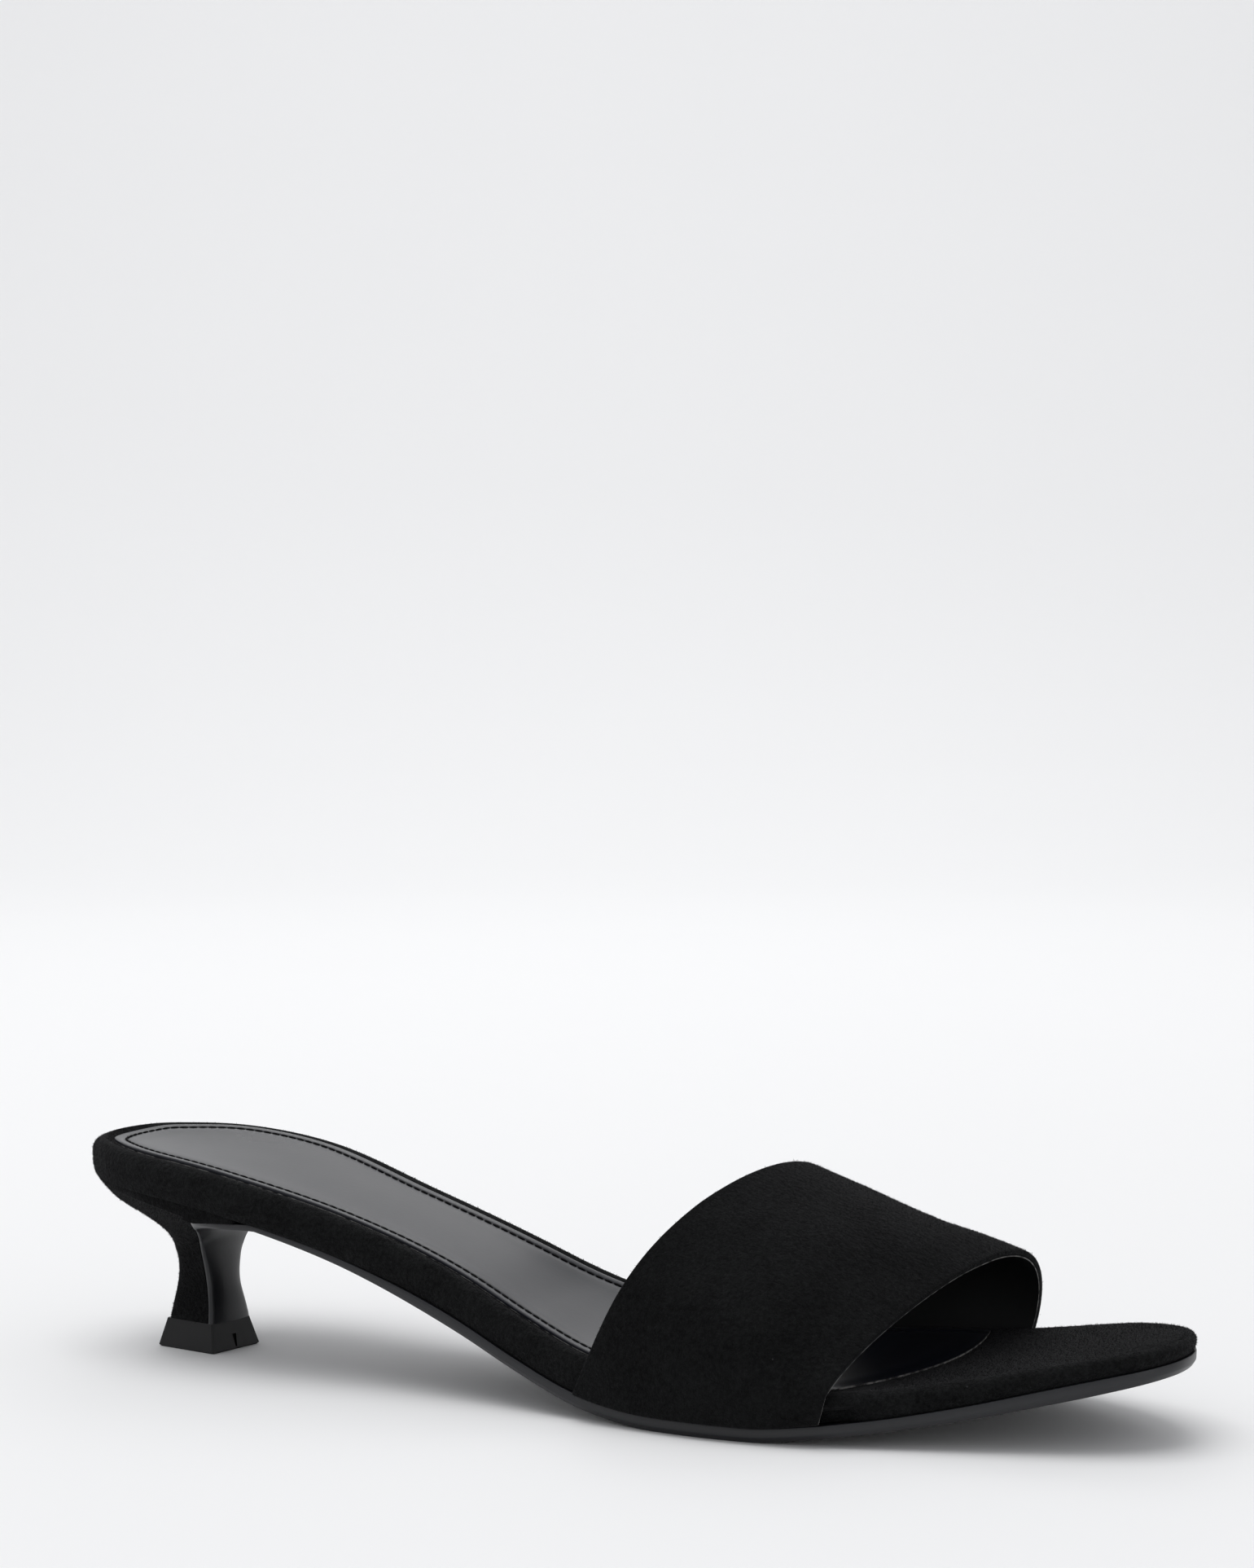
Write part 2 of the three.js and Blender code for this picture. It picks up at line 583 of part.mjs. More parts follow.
// Band: one wide strap over the toes, open at the toe and at the back
function bandGeometry() {
  const columns = BAND_ARCH_STEPS + 2 * BAND_FOOT_STEPS;
  const outer = [];
  const inner = [];
  const step = 0.004;
  for (let r = 0; r <= BAND_STEPS; r += 1) {
    const along = r / BAND_STEPS;
    const outerRow = [];
    const innerRow = [];
    for (let c = 0; c <= columns; c += 1) {
      const over = c / columns;
      const point = bandPoint(along, over);
      const forward = bandPoint(Math.min(along + step, 1), over).sub(bandPoint(Math.max(along - step, 0), over));
      const sideways = bandPoint(along, Math.min(over + step, 1)).sub(bandPoint(along, Math.max(over - step, 0)));
      const inwards = sideways.cross(forward).normalize();
      const lining = point.clone().addScaledVector(inwards, BAND_WALL);
      if (c === 0 || c === columns) lining.z = point.z;
      outerRow.push(point);
      innerRow.push(lining);
    }
    outer.push(outerRow);
    inner.push(innerRow);
  }
  return weld(shell(outer, inner));
}

// Rectangle on the heel's axes with softly cut corners, counterclockwise
function tread(length, width, corner, level) {
  const x = length / 2;
  const y = width / 2;
  const corners = [[-1, -1], [1, -1], [1, 1], [-1, 1]];
  return corners.flatMap(([sx, sy], i) => {
    const first = onHeel(sx * x - (i % 2 === 0 ? 0 : sx * corner), sy * y - (i % 2 === 0 ? sy * corner : 0));
    const second = onHeel(sx * x - (i % 2 === 0 ? sx * corner : 0), sy * y - (i % 2 === 0 ? 0 : sy * corner));
    first.z = level;
    second.z = level;
    return [first, second];
  });
}

// Top piece: four flared sides, a small bevel under them and a tapered notch in the breast side
function topPieceGeometry() {
  const bevel = 0.4;
  const corner = 0.35;
  const upperLength = TOP_PIECE_LENGTH - 2 * TOP_PIECE_FLARE;
  const upperWidth = TOP_PIECE_WIDTH - 2 * TOP_PIECE_FLARE;
  const rings = [
    tread(TOP_PIECE_LENGTH - 2 * bevel, TOP_PIECE_WIDTH - 2 * bevel, corner, 0),
    tread(TOP_PIECE_LENGTH, TOP_PIECE_WIDTH, corner, bevel),
    tread(upperLength, upperWidth, corner, TOP_PIECE_HEIGHT),
  ];
  const triangles = flipped(cap(rings[0]));
  for (let i = 0; i + 1 < rings.length; i += 1) triangles.push(...wall(rings[i], rings[i + 1]));
  triangles.push(...cap(rings[rings.length - 1]));
  const front = TOP_PIECE_LENGTH / 2;
  const middle = 0.32 * TOP_PIECE_HEIGHT;
  const at = (along, across, level) => onHeel(along, across).setZ(level);
  const faceAt = (level) => front - (TOP_PIECE_FLARE * (level - bevel)) / (TOP_PIECE_HEIGHT - bevel);
  const low = middle - NOTCH_HEIGHT / 2;
  const high = middle + NOTCH_HEIGHT / 2;
  const side = (across, scale) => [
    at(faceAt(low) - NOTCH_DEPTH, across * scale, low),
    at(front + 1, across * scale, low),
    at(front + 1, across, high),
    at(faceAt(high) - NOTCH_DEPTH, across, high),
  ];
  const left = side(-NOTCH_WIDTH / 2, 0.3);
  const right = side(NOTCH_WIDTH / 2, 0.3);
  const notch = [...quad(...left), ...flipped(quad(...right)), ...wall(right, left)];
  return toGeometry(toSolid(weld(triangles)).subtract(toSolid(weld(notch))));
}

// Materials, one for each piece
const material = (color, roughness) => new THREE.MeshStandardMaterial({ color, roughness, metalness: 0 });
const PIECES = [
  ["outsole", outsoleGeometry(), material(0x2b2c32, 0.45)],
  ["footbed", footbedGeometry(), material(0x17171a, 0.95)],
  ["sock", sockGeometry(), material(0x55565c, 0.5)],
  ["band", bandGeometry(), material(0x1a1a1d, 0.95)],
  ["heel", heelGeometry(), material(0x18181b, 0.95)],
  ["top_piece", topPieceGeometry(), material(0x1f2024, 0.4)],
];

// The shoe, standing on the floor with its box centred over the origin
const shoe = new THREE.Group();
for (const [name, geometry, look] of PIECES) {
  const mesh = new THREE.Mesh(geometry, look);
  mesh.name = name;
  shoe.add(mesh);
}
const box = new THREE.Box3().setFromObject(shoe);
const middle = box.getCenter(new THREE.Vector3());
shoe.position.set(-middle.x, -middle.y, -box.min.z);
shoe.updateMatrixWorld(true);

export default shoe;
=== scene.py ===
import math

import bmesh
import bpy
import numpy as np
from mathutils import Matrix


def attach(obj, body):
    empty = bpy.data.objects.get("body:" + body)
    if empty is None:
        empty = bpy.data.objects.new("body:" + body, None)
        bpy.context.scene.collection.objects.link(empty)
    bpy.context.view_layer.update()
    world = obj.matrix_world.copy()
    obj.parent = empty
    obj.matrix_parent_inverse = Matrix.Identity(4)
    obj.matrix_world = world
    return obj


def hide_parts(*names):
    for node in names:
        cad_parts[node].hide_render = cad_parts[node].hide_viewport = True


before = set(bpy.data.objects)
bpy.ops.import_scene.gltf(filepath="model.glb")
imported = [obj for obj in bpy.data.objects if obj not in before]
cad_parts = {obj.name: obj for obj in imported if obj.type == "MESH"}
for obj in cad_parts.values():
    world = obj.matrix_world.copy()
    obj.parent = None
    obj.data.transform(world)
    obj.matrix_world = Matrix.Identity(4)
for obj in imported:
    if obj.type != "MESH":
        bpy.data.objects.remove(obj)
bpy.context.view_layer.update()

# Footbed
# An insole board with a thin layer of padding, cut to the last and wrapped in black suede. The suede is
# pulled over a rounded rim and glued underneath. All sizes are in millimetres, from the shoe's own back
# end and the middle line of the last, and add_piece puts them in the shared frame.
SHOE_BACK = -122.55
SHOE_MIDDLE = -2.158
LENGTH = 245
BALL_WIDTH = 74
HEEL_RISE = 37.6
TOE_SPRING = 15.4
FOOTBED_DEPTH = 7.4
SIDE_BULGE = 0.5
RIM_RADIUS = 2.2
RIM_DEPTH_SHARE = 0.45
RIM_PUFF = 0.5
PUFF_WIDTH = 2.2
PUFF_FROM, PUFF_FADE = 170, 25
SEAT_DISH = 1.2
TOE_CROWN = 0.8
CROWN_FROM, CROWN_TO = 194, 226
CROWN_HALF = 12
WRAP_SINK = 0.28
SOLE_THICKNESS = 3
SEAT_INSET = 0.6
CLEARANCE = 0.3
BREAST_FROM_BACK = 36
WING_REACH = 14
WING_DEPTH = 3.5
STATIONS = 150

# at, outer, inner: station as a share of the length, both sides as shares of the ball's width
OUTLINE = [
    (0.01, 0.178, 0.132),
    (0.035, 0.266, 0.223),
    (0.08, 0.345, 0.312),
    (0.17, 0.386, 0.328),
    (0.29, 0.353, 0.251),
    (0.41, 0.377, 0.247),
    (0.53, 0.436, 0.378),
    (0.64, 0.478, 0.504),
    (0.73, 0.453, 0.536),
    (0.81, 0.38, 0.489),
    (0.88, 0.311, 0.416),
    (0.94, 0.245, 0.312),
    (0.98, 0.168, 0.189),
    (0.996, 0.092, 0.076),
]
HEEL_TIP = -0.03
TOE_TIP = -0.014

# at, rise, spring, depth, sole: shares of the heel rise, toe spring, footbed depth and sole thickness
PROFILE = [
    (0, 1, 0, 0.98, 0.43),
    (0.07, 0.973, 0, 0.98, 0.43),
    (0.17, 0.891, 0, 0.98, 0.43),
    (0.28, 0.694, 0, 1, 0.55),
    (0.4, 0.394, 0, 1.01, 0.93),
    (0.46, 0.219, 0, 0.99, 0.93),
    (0.52, 0.074, 0, 0.96, 0.93),
    (0.56, 0.02, 0, 0.92, 0.97),
    (0.6, 0, 0, 0.88, 1),
    (0.675, 0, 0, 0.805, 1),
    (0.73, 0, 0.09, 0.75, 0.95),
    (0.79, 0, 0.237, 0.7, 0.9),
    (0.84, 0, 0.39, 0.64, 0.95),
    (0.93, 0, 0.725, 0.53, 1.05),
    (1, 0, 1, 0.43, 0.9),
]


def smooth_curve(at, values):
    """Smooth curve through a table's column, flat between equal values."""
    at, values = np.array(at, float), np.array(values, float)
    span = np.diff(at)
    secant = np.diff(values) / span
    slope = np.concatenate([secant[:1], secant])
    mean = (secant[:-1] * span[1:] + secant[1:] * span[:-1]) / (span[:-1] + span[1:])
    slope[1:-1] = np.where(secant[:-1] * secant[1:] > 0, mean, 0)

    def value(place):
        place = np.clip(place, at[0], at[-1])
        row = np.clip(np.searchsorted(at, place) - 1, 0, len(span) - 1)
        u = (place - at[row]) / span[row]
        ends = values[row] * (1 + 2 * u) * (1 - u) ** 2 + values[row + 1] * u * u * (3 - 2 * u)
        return ends + span[row] * u * (1 - u) * (slope[row] * (1 - u) - slope[row + 1] * u)

    return value


def columns(table, *names):
    """The columns of a table as smooth curves over its first one."""
    read = list(zip(*table))
    return {name: smooth_curve(read[0], read[i + 1]) for i, name in enumerate(names)}


def last_sides(steps=40):
    """Outer and inner side of the last's outline, each from the heel tip to the toe tip."""
    outer = [(at * LENGTH, -side * BALL_WIDTH) for at, side, _ in OUTLINE]
    inner = [(at * LENGTH, side * BALL_WIDTH) for at, _, side in OUTLINE]
    heel, toe = (0, HEEL_TIP * BALL_WIDTH), (LENGTH, TOE_TIP * BALL_WIDTH)
    points = np.array([heel, *outer, toe, *inner[::-1]])
    u = np.arange(steps)[:, None] / steps
    dense = []
    for i in range(len(points)):
        a, b, c, d = (points[(i + k - 1) % len(points)] for k in range(4))
        ab, bc, cd = (np.sum((q - p) ** 2) ** 0.25 for p, q in ((a, b), (b, c), (c, d)))
        start = ((b - a) / ab - (c - a) / (ab + bc) + (c - b) / bc) * bc
        end = ((c - b) / bc - (d - b) / (bc + cd) + (d - c) / cd) * bc
        square = -3 * b + 3 * c - 2 * start - end
        dense.append(b + start * u + square * u**2 + (2 * b - 2 * c + start + end) * u**3)
    dense = np.concatenate(dense)
    tip = (len(OUTLINE) + 1) * steps
    return dense[: tip + 1], np.concatenate([dense[tip:], dense[:1]])[::-1]


outer_side, inner_side = last_sides()
profile = columns(PROFILE, "rise", "spring", "depth", "sole")


def side_at(side, x):
    """Distance across the shoe of one side of the last, at stations along it."""
    return np.interp(x, side[:, 0], side[:, 1])


def sole_bottom(x):
    return HEEL_RISE * profile["rise"](x / LENGTH) + TOE_SPRING * profile["spring"](x / LENGTH)


def sole_thickness(x):
    return SOLE_THICKNESS * profile["sole"](x / LENGTH)


def footbed_bottom(x):
    return sole_bottom(x) + sole_thickness(x) + CLEARANCE


def footbed_depth(x):
    return FOOTBED_DEPTH * profile["depth"](x / LENGTH)


def footbed_top(x):
    return footbed_bottom(x) + footbed_depth(x)


def rim_radius(x):
    return np.minimum(RIM_RADIUS, RIM_DEPTH_SHARE * footbed_depth(x))


def ease(share):
    """Smooth step from 0 to 1."""
    share = np.clip(share, 0, 1)
    return share * share * (3 - 2 * share)


def footbed_surface(x, y):
    """Height of the footbed's upper face, lightly dished between its rims and crowned at the toe."""
    crowned = ease((x - CROWN_FROM) / (CROWN_TO - CROWN_FROM))
    outer = side_at(outer_side, x) + rim_radius(x)
    inner = side_at(inner_side, x) - rim_radius(x)
    half = np.maximum((inner - outer) / 2, rim_radius(x))
    share = np.clip((y - (inner + outer) / 2) / half, -1, 1)
    dish = SEAT_DISH * np.minimum(1, half / (BALL_WIDTH / 4)) * (1 - crowned)
    crown = TOE_CROWN * np.minimum(1, half / CROWN_HALF) * crowned
    return footbed_top(x) + (crown - dish) * (1 - share**2)


def station_outline():
    """The outline at stations that are close together at both tips, and its outward directions."""
    x = LENGTH * (1 - np.cos(np.pi * np.arange(1, STATIONS) / STATIONS)) / 2
    outer = np.column_stack([x, side_at(outer_side, x)])
    inner = np.column_stack([x, side_at(inner_side, x)])[::-1]
    points = np.concatenate([outer_side[:1], outer, outer_side[-1:], inner])
    along = np.roll(points, -1, axis=0) - np.roll(points, 1, axis=0)
    facing = np.column_stack([along[:, 1], -along[:, 0]])
    return points, facing / np.linalg.norm(facing, axis=1)[:, None]


outline, outward = station_outline()


def ring(inset, height):
    """Ring round the footbed: inset in mm and height in mm, each one number or worked out at every x."""
    x = outline[:, 0]
    moved = outline - outward * np.broadcast_to(inset(x) if callable(inset) else inset, x.shape)[:, None]
    level = height(np.clip(moved[:, 0], 0, LENGTH))
    return np.column_stack([moved, np.broadcast_to(level, x.shape)])


def grid_faces(rows, across, start=0, closed=False):
    """Quads over a grid of points, row after row, closed round each row where asked."""
    faces = []
    for row in range(start, start + (rows - 1) * across, across):
        for c in range(across if closed else across - 1):
            after = (c + 1) % across
            faces.append((row + c, row + after, row + across + after, row + across + c))
    return faces


def both_sides(edge):
    """The outer and the inner half of a ring, each from the heel tip to the toe tip."""
    return edge[: STATIONS + 1], np.concatenate([edge[:1], edge[STATIONS:][::-1]])


def tube_faces(rows, across, start=0):
    """Quads round a tube of rings, and a face over each of its two ends."""
    ends = [tuple(range(first, first + across)) for first in (start, start + (rows - 1) * across)]
    return grid_faces(rows, across, start, closed=True) + ends


def lid_points(edge, across, height):
    """Rows across a ring from its outer to its inner side, between the tips, at a height in mm."""
    outer, inner = both_sides(edge)
    share = np.linspace(0, 1, across)[None, :, None]
    points = outer[:, None] * (1 - share) + inner[:, None] * share
    points[:, 1:-1, 2] = height(points[:, 1:-1, 0], points[:, 1:-1, 1])
    return points.reshape(-1, 3)


def add_object(name, data):
    """New object at the origin, in the scene."""
    made = bpy.data.objects.new(name, data)
    bpy.context.scene.collection.objects.link(made)
    return made


def add_piece(name, points, faces, sharp=40, slots=None):
    """Closed mesh from points in the shoe's millimetres, with its normals turned outwards."""
    mesh = bpy.data.meshes.new(name)
    placed = (np.asarray(points, float) + (SHOE_BACK, SHOE_MIDDLE, 0)) / 1000
    mesh.from_pydata(placed.tolist(), [], faces)
    if slots is not None:
        mesh.polygons.foreach_set("material_index", slots)
    form = bmesh.new()
    form.from_mesh(mesh)
    bmesh.ops.remove_doubles(form, verts=form.verts, dist=2e-6)
    bmesh.ops.recalc_face_normals(form, faces=form.faces)
    form.to_mesh(mesh)
    form.free()
    mesh.shade_smooth()
    mesh.set_sharp_from_angle(angle=math.radians(sharp))
    return add_object(name, mesh)


# Recess in the footbed's outer side, where the wrap is cut away in front of the band's foot
RECESS_FROM, RECESS_TO = 176, 189
RECESS_DEPTH = 2
RECESS_SHARE = 0.55
RECESS_BACK_SLOPE, RECESS_FRONT_SLOPE, RECESS_TOP_SLOPE = 1.5, 3, 0.1


def footbed_recess(x, share):
    """Depth of the recess at a station and a share of the footbed's depth."""
    behind = np.clip((x - RECESS_FROM) / RECESS_BACK_SLOPE, 0, 1)
    along = behind * np.clip((RECESS_TO - x) / RECESS_FRONT_SLOPE, 0, 1)
    return RECESS_DEPTH * along * np.clip((RECESS_SHARE - share) / RECESS_TOP_SLOPE, 0, 1)


def puff(x):
    """How far the padding stands up behind the rim. It fades out towards the toe."""
    return RIM_PUFF * (1 - ease((x - PUFF_FROM) / PUFF_FADE))


# share of the depth, inset: the wrap's side from the glued edge to where the rim's roll begins
WRAP_SIDE = [(0, 0.25), (0.03, 0.12), (0.08, -0.04), (0.18, -0.25), (0.3, -0.42), (0.42, -0.5)]
ROLL_STEPS = 11
LID_ACROSS = 19

footbed_rings = []
for share, inset in WRAP_SIDE:
    side_ring = ring(inset, lambda x: footbed_bottom(x) - WRAP_SINK + share * (footbed_depth(x) + WRAP_SINK))
    sunk = footbed_recess(outline[: STATIONS + 1, 0], share)
    side_ring[: STATIONS + 1, :2] -= outward[: STATIONS + 1] * sunk[:, None]
    footbed_rings.append(side_ring)
for angle in np.linspace(0, np.pi / 2, ROLL_STEPS):
    footbed_rings.append(
        ring(
            lambda x: (rim_radius(x) + SIDE_BULGE) * (1 - np.cos(angle)) - SIDE_BULGE,
            lambda x: footbed_top(x) - rim_radius(x) + (rim_radius(x) + puff(x)) * np.sin(angle),
        )
    )
# The padding swells between the rim and the sock's edge
for way in (0.3, 0.65, 1):
    swell = ring(lambda x: rim_radius(x) + way * PUFF_WIDTH * rim_radius(x) / RIM_RADIUS, footbed_top)
    along = np.clip(swell[:, 0], 0, LENGTH)
    swell[:, 2] = footbed_surface(along, swell[:, 1]) + puff(along) * (1 - ease(way))
    footbed_rings.append(swell)
count = len(outline)
under = lid_points(footbed_rings[0], 2, lambda x, y: footbed_bottom(x) - WRAP_SINK)
over = lid_points(footbed_rings[-1], LID_ACROSS, lambda x, y: footbed_surface(np.clip(x, 0, LENGTH), y))
footbed_points = np.concatenate([*footbed_rings, under, over])
footbed_faces = grid_faces(len(footbed_rings), count, closed=True)
footbed_faces += grid_faces(STATIONS + 1, 2, len(footbed_rings) * count)
footbed_faces += grid_faces(STATIONS + 1, LID_ACROSS, len(footbed_rings) * count + len(under))
footbed = add_piece("footbed_wrap", footbed_points, footbed_faces)


def from_hex(code):
    """Linear colour of an sRGB hex value."""
    parts = [int(code[i : i + 2], 16) / 255 for i in (1, 3, 5)]
    return (*(p / 12.92 if p <= 0.04045 else ((p + 0.055) / 1.055) ** 2.4 for p in parts), 1)


def add_node(tree, kind, links, **settings):
    """Adds a node: links holds a value or another node's output for each input, settings its properties.
    A colour Mix node names its sockets alike, so they go by number: 0 the factor, 6 and 7 the colours,
    and output 2 the mixed colour."""
    made = tree.nodes.new(kind)
    for name, value in settings.items():
        setattr(made, name, value)
    for socket, value in links.items():
        if isinstance(value, bpy.types.NodeSocket):
            tree.links.new(value, made.inputs[socket])
        else:
            made.inputs[socket].default_value = value
    return made


def new_material(name):
    """Empty material, its node tree, and the piece's Object coordinates."""
    material = bpy.data.materials.new(name)
    material.use_nodes = True
    material.node_tree.nodes.clear()
    place = add_node(material.node_tree, "ShaderNodeTexCoord", {}).outputs["Object"]
    return material, material.node_tree, place


def black_suede(name, dark, light, patch_mm, clump_mm, streak_share):
    """Suede: split leather with its fibres brushed up. Light falls into the nap, so it has no gloss, only
    a faint sheen, and it is darker or lighter where the nap lies one way or the other, in patches and in
    streaks along the shoe. The fibres are 0.1 mm thick and too fine to show, so the clumps are drawn
    several times as coarse."""
    material, tree, place = new_material(name)
    brushed = add_node(
        tree, "ShaderNodeMapping", {"Vector": place, "Rotation": (0, 0, 0.25), "Scale": (0.14, 1, 1)}
    )
    patches = add_node(
        tree, "ShaderNodeTexNoise", {"Vector": place, "Scale": 1000 / patch_mm, "Detail": 3, "Roughness": 0.55}
    )
    streaks = add_node(
        tree, "ShaderNodeTexNoise", {"Vector": brushed.outputs["Vector"], "Scale": 1000 / 1.3, "Detail": 3}
    )
    clumps = add_node(
        tree, "ShaderNodeTexNoise", {"Vector": place, "Scale": 1000 / clump_mm, "Detail": 3, "Roughness": 0.75}
    )
    lie = add_node(
        tree,
        "ShaderNodeMapRange",
        {"Value": patches.outputs["Fac"], "From Min": 0.34, "From Max": 0.66, "To Max": 0.45 - streak_share},
        interpolation_type="SMOOTHSTEP",
    )
    drawn = add_node(
        tree,
        "ShaderNodeMapRange",
        {"Value": streaks.outputs["Fac"], "From Min": 0.36, "From Max": 0.66, "To Max": streak_share},
    )
    fibre = add_node(
        tree,
        "ShaderNodeMapRange",
        {"Value": clumps.outputs["Fac"], "From Min": 0.38, "From Max": 0.64, "To Max": 0.55},
    )
    lies = add_node(tree, "ShaderNodeMath", {0: lie.outputs["Result"], 1: drawn.outputs["Result"]})
    both = add_node(tree, "ShaderNodeMath", {0: lies.outputs["Value"], 1: fibre.outputs["Result"]})
    nap = add_node(
        tree,
        "ShaderNodeMix",
        {0: both.outputs["Value"], 6: from_hex(dark), 7: from_hex(light)},
        data_type="RGBA",
    )
    # Single pale fibres and dust, one every few millimetres
    dust = add_node(tree, "ShaderNodeTexVoronoi", {"Vector": place, "Scale": 1000 / 6.5, "Randomness": 1})
    speck = add_node(
        tree,
        "ShaderNodeMapRange",
        {"Value": dust.outputs["Distance"], "From Min": 0.034, "From Max": 0.018, "To Max": 0.4},
    )
    colour = add_node(
        tree,
        "ShaderNodeMix",
        {0: speck.outputs["Result"], 6: nap.outputs[2], 7: from_hex("#4b4a4c")},
        data_type="RGBA",
    )
    fine = add_node(
        tree,
        "ShaderNodeBump",
        {"Height": clumps.outputs["Fac"], "Strength": 1, "Distance": 0.0007},
    )
    broad = add_node(
        tree,
        "ShaderNodeBump",
        {"Height": streaks.outputs["Fac"], "Strength": 0.35, "Distance": 0.0005, "Normal": fine.outputs["Normal"]},
    )
    surface = add_node(
        tree,
        "ShaderNodeBsdfPrincipled",
        {
            "Base Color": colour.outputs[2],
            "Roughness": 0.95,
            "IOR": 1.45,
            "Specular IOR Level": 0.12,
            "Sheen Weight": 0.08,
            "Sheen Roughness": 0.55,
            "Sheen Tint": from_hex("#8b8a90"),
            "Normal": broad.outputs["Normal"],
        },
    )
    add_node(tree, "ShaderNodeOutputMaterial", {"Surface": surface.outputs["BSDF"]})
    return material


footbed.data.materials.append(black_suede("black suede, footbed wrap", "#020202", "#1b1c1c", 9, 0.9, 0.2))
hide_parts("footbed")
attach(footbed, "root")

# Nap: the longest fibres stand up to 0.4 mm off the suede and soften its outline. The real ones are
# closer together and thinner.
NAP_LENGTH = 0.42
NAP_WIDTH = 0.05
NAP_PER_SQUARE_MM = 4.8
BARE_TOE_FROM = 190


def drifting(name, size_mm, detail, colours, gloss, relief=None, rough=0.5, spread=(0, 1), **finish):
    """Material that drifts between two colours in patches of a size, and its roughness with them between
    the two values of gloss. relief is a fine texture's size in mm, its detail or None for pebbles with
    rounded edges, and its strength and depth in mm. finish holds what else the surface needs."""
    material, tree, place = new_material(name)
    tone = add_node(
        tree,
        "ShaderNodeTexNoise",
        {"Vector": place, "Scale": 1000 / size_mm, "Detail": detail, "Roughness": rough},
    )
    drift = add_node(
        tree, "ShaderNodeMapRange", {"Value": tone.outputs["Fac"], "From Min": spread[0], "From Max": spread[1]}
    ).outputs["Result"]
    colour = add_node(
        tree,
        "ShaderNodeMix",
        {0: drift, 6: from_hex(colours[0]), 7: from_hex(colours[1])},
        data_type="RGBA",
    )
    dull = add_node(tree, "ShaderNodeMapRange", {"Value": drift, "To Min": gloss[0], "To Max": gloss[1]})
    links = {"Base Color": colour.outputs[2], "Roughness": dull.outputs["Result"], **finish}
    if relief:
        fine_mm, fine_detail, strength, depth = relief
        fine = {"Vector": place, "Scale": 1000 / fine_mm}
        if fine_detail is None:
            grain = add_node(tree, "ShaderNodeTexVoronoi", fine, feature="SMOOTH_F1")
        else:
            grain = add_node(tree, "ShaderNodeTexNoise", {**fine, "Detail": fine_detail})
        raised = {"Height": grain.outputs[0], "Strength": strength, "Distance": depth / 1000}
        links["Normal"] = add_node(tree, "ShaderNodeBump", raised).outputs["Normal"]
    surface = add_node(tree, "ShaderNodeBsdfPrincipled", links)
    add_node(tree, "ShaderNodeOutputMaterial", {"Surface": surface.outputs["BSDF"]})
    return material


nap_finish = {"IOR": 1.45, "Specular IOR Level": 0.1}
nap_material = drifting("raised suede fibres", 1.1, 2, ("#050506", "#202022"), (1, 1), **nap_finish)


def new_group(name, inputs, output):
    """Empty Geometry Nodes group with one output, and its named inputs' sockets."""
    group = bpy.data.node_groups.new(name, "GeometryNodeTree")
    for label, kind in inputs.items():
        group.interface.new_socket(label, in_out="INPUT", socket_type="NodeSocket" + kind)
    group.interface.new_socket(output, in_out="OUTPUT", socket_type="NodeSocketGeometry")
    return group, add_node(group, "NodeGroupInput", {}).outputs


def grow(name, holder, group, values, material):
    """What a Geometry Nodes group makes on a holder, as a piece of its own in one material."""
    growing = holder.modifiers.new(group.name, "NODES")
    growing.node_group = group
    for item in group.interface.items_tree:
        if item.in_out == "INPUT" and item.name in values:
            growing[item.identifier] = values[item.name]
    mesh = bpy.data.meshes.new_from_object(holder.evaluated_get(bpy.context.evaluated_depsgraph_get()))
    bpy.data.objects.remove(holder)
    mesh.materials.clear()
    mesh.materials.append(material)
    mesh.polygons.foreach_set("material_index", [0] * len(mesh.polygons))
    return add_object(name, mesh)


nap_inputs = {"Suede": "Geometry", "Density": "Float", "Fibre length": "Float", "Fibre width": "Float"}
nap_inputs |= {"Seed": "Int", "Fibre": "Material"}
napping, given = new_group("suede nap", nap_inputs, "Nap")
roots = add_node(
    napping,
    "GeometryNodeDistributePointsOnFaces",
    {"Mesh": given["Suede"], "Density": given["Density"], "Seed": given["Seed"]},
)
hair = add_node(
    napping,
    "GeometryNodeMeshCone",
    {"Vertices": 3, "Radius Top": 0, "Radius Bottom": given["Fibre width"], "Depth": given["Fibre length"]},
)
# A random node's sockets: 0 and 1 limit a vector, 2 and 3 a number, and 8 is the seed
tilt = add_node(
    napping,
    "FunctionNodeRandomValue",
    {0: (-1.1, -1.1, -3), 1: (1.1, 1.1, 3), 8: given["Seed"]},
    data_type="FLOAT_VECTOR",
)
leaning = add_node(
    napping,
    "FunctionNodeRotateRotation",
    {"Rotation": roots.outputs["Rotation"], "Rotate By": tilt.outputs[0]},
    rotation_space="LOCAL",
)
growth = add_node(napping, "FunctionNodeRandomValue", {2: 0.4, 3: 1.2, 8: 5}, data_type="FLOAT")
grown = add_node(
    napping,
    "GeometryNodeInstanceOnPoints",
    {
        "Points": roots.outputs["Points"],
        "Instance": hair.outputs["Mesh"],
        "Rotation": leaning.outputs["Rotation"],
        "Scale": growth.outputs[1],
    },
)
real = add_node(napping, "GeometryNodeRealizeInstances", {"Geometry": grown.outputs["Instances"]})
dyed = add_node(
    napping, "GeometryNodeSetMaterial", {"Geometry": real.outputs["Geometry"], "Material": given["Fibre"]}
)
add_node(napping, "NodeGroupOutput", {"Nap": dyed.outputs["Geometry"]})


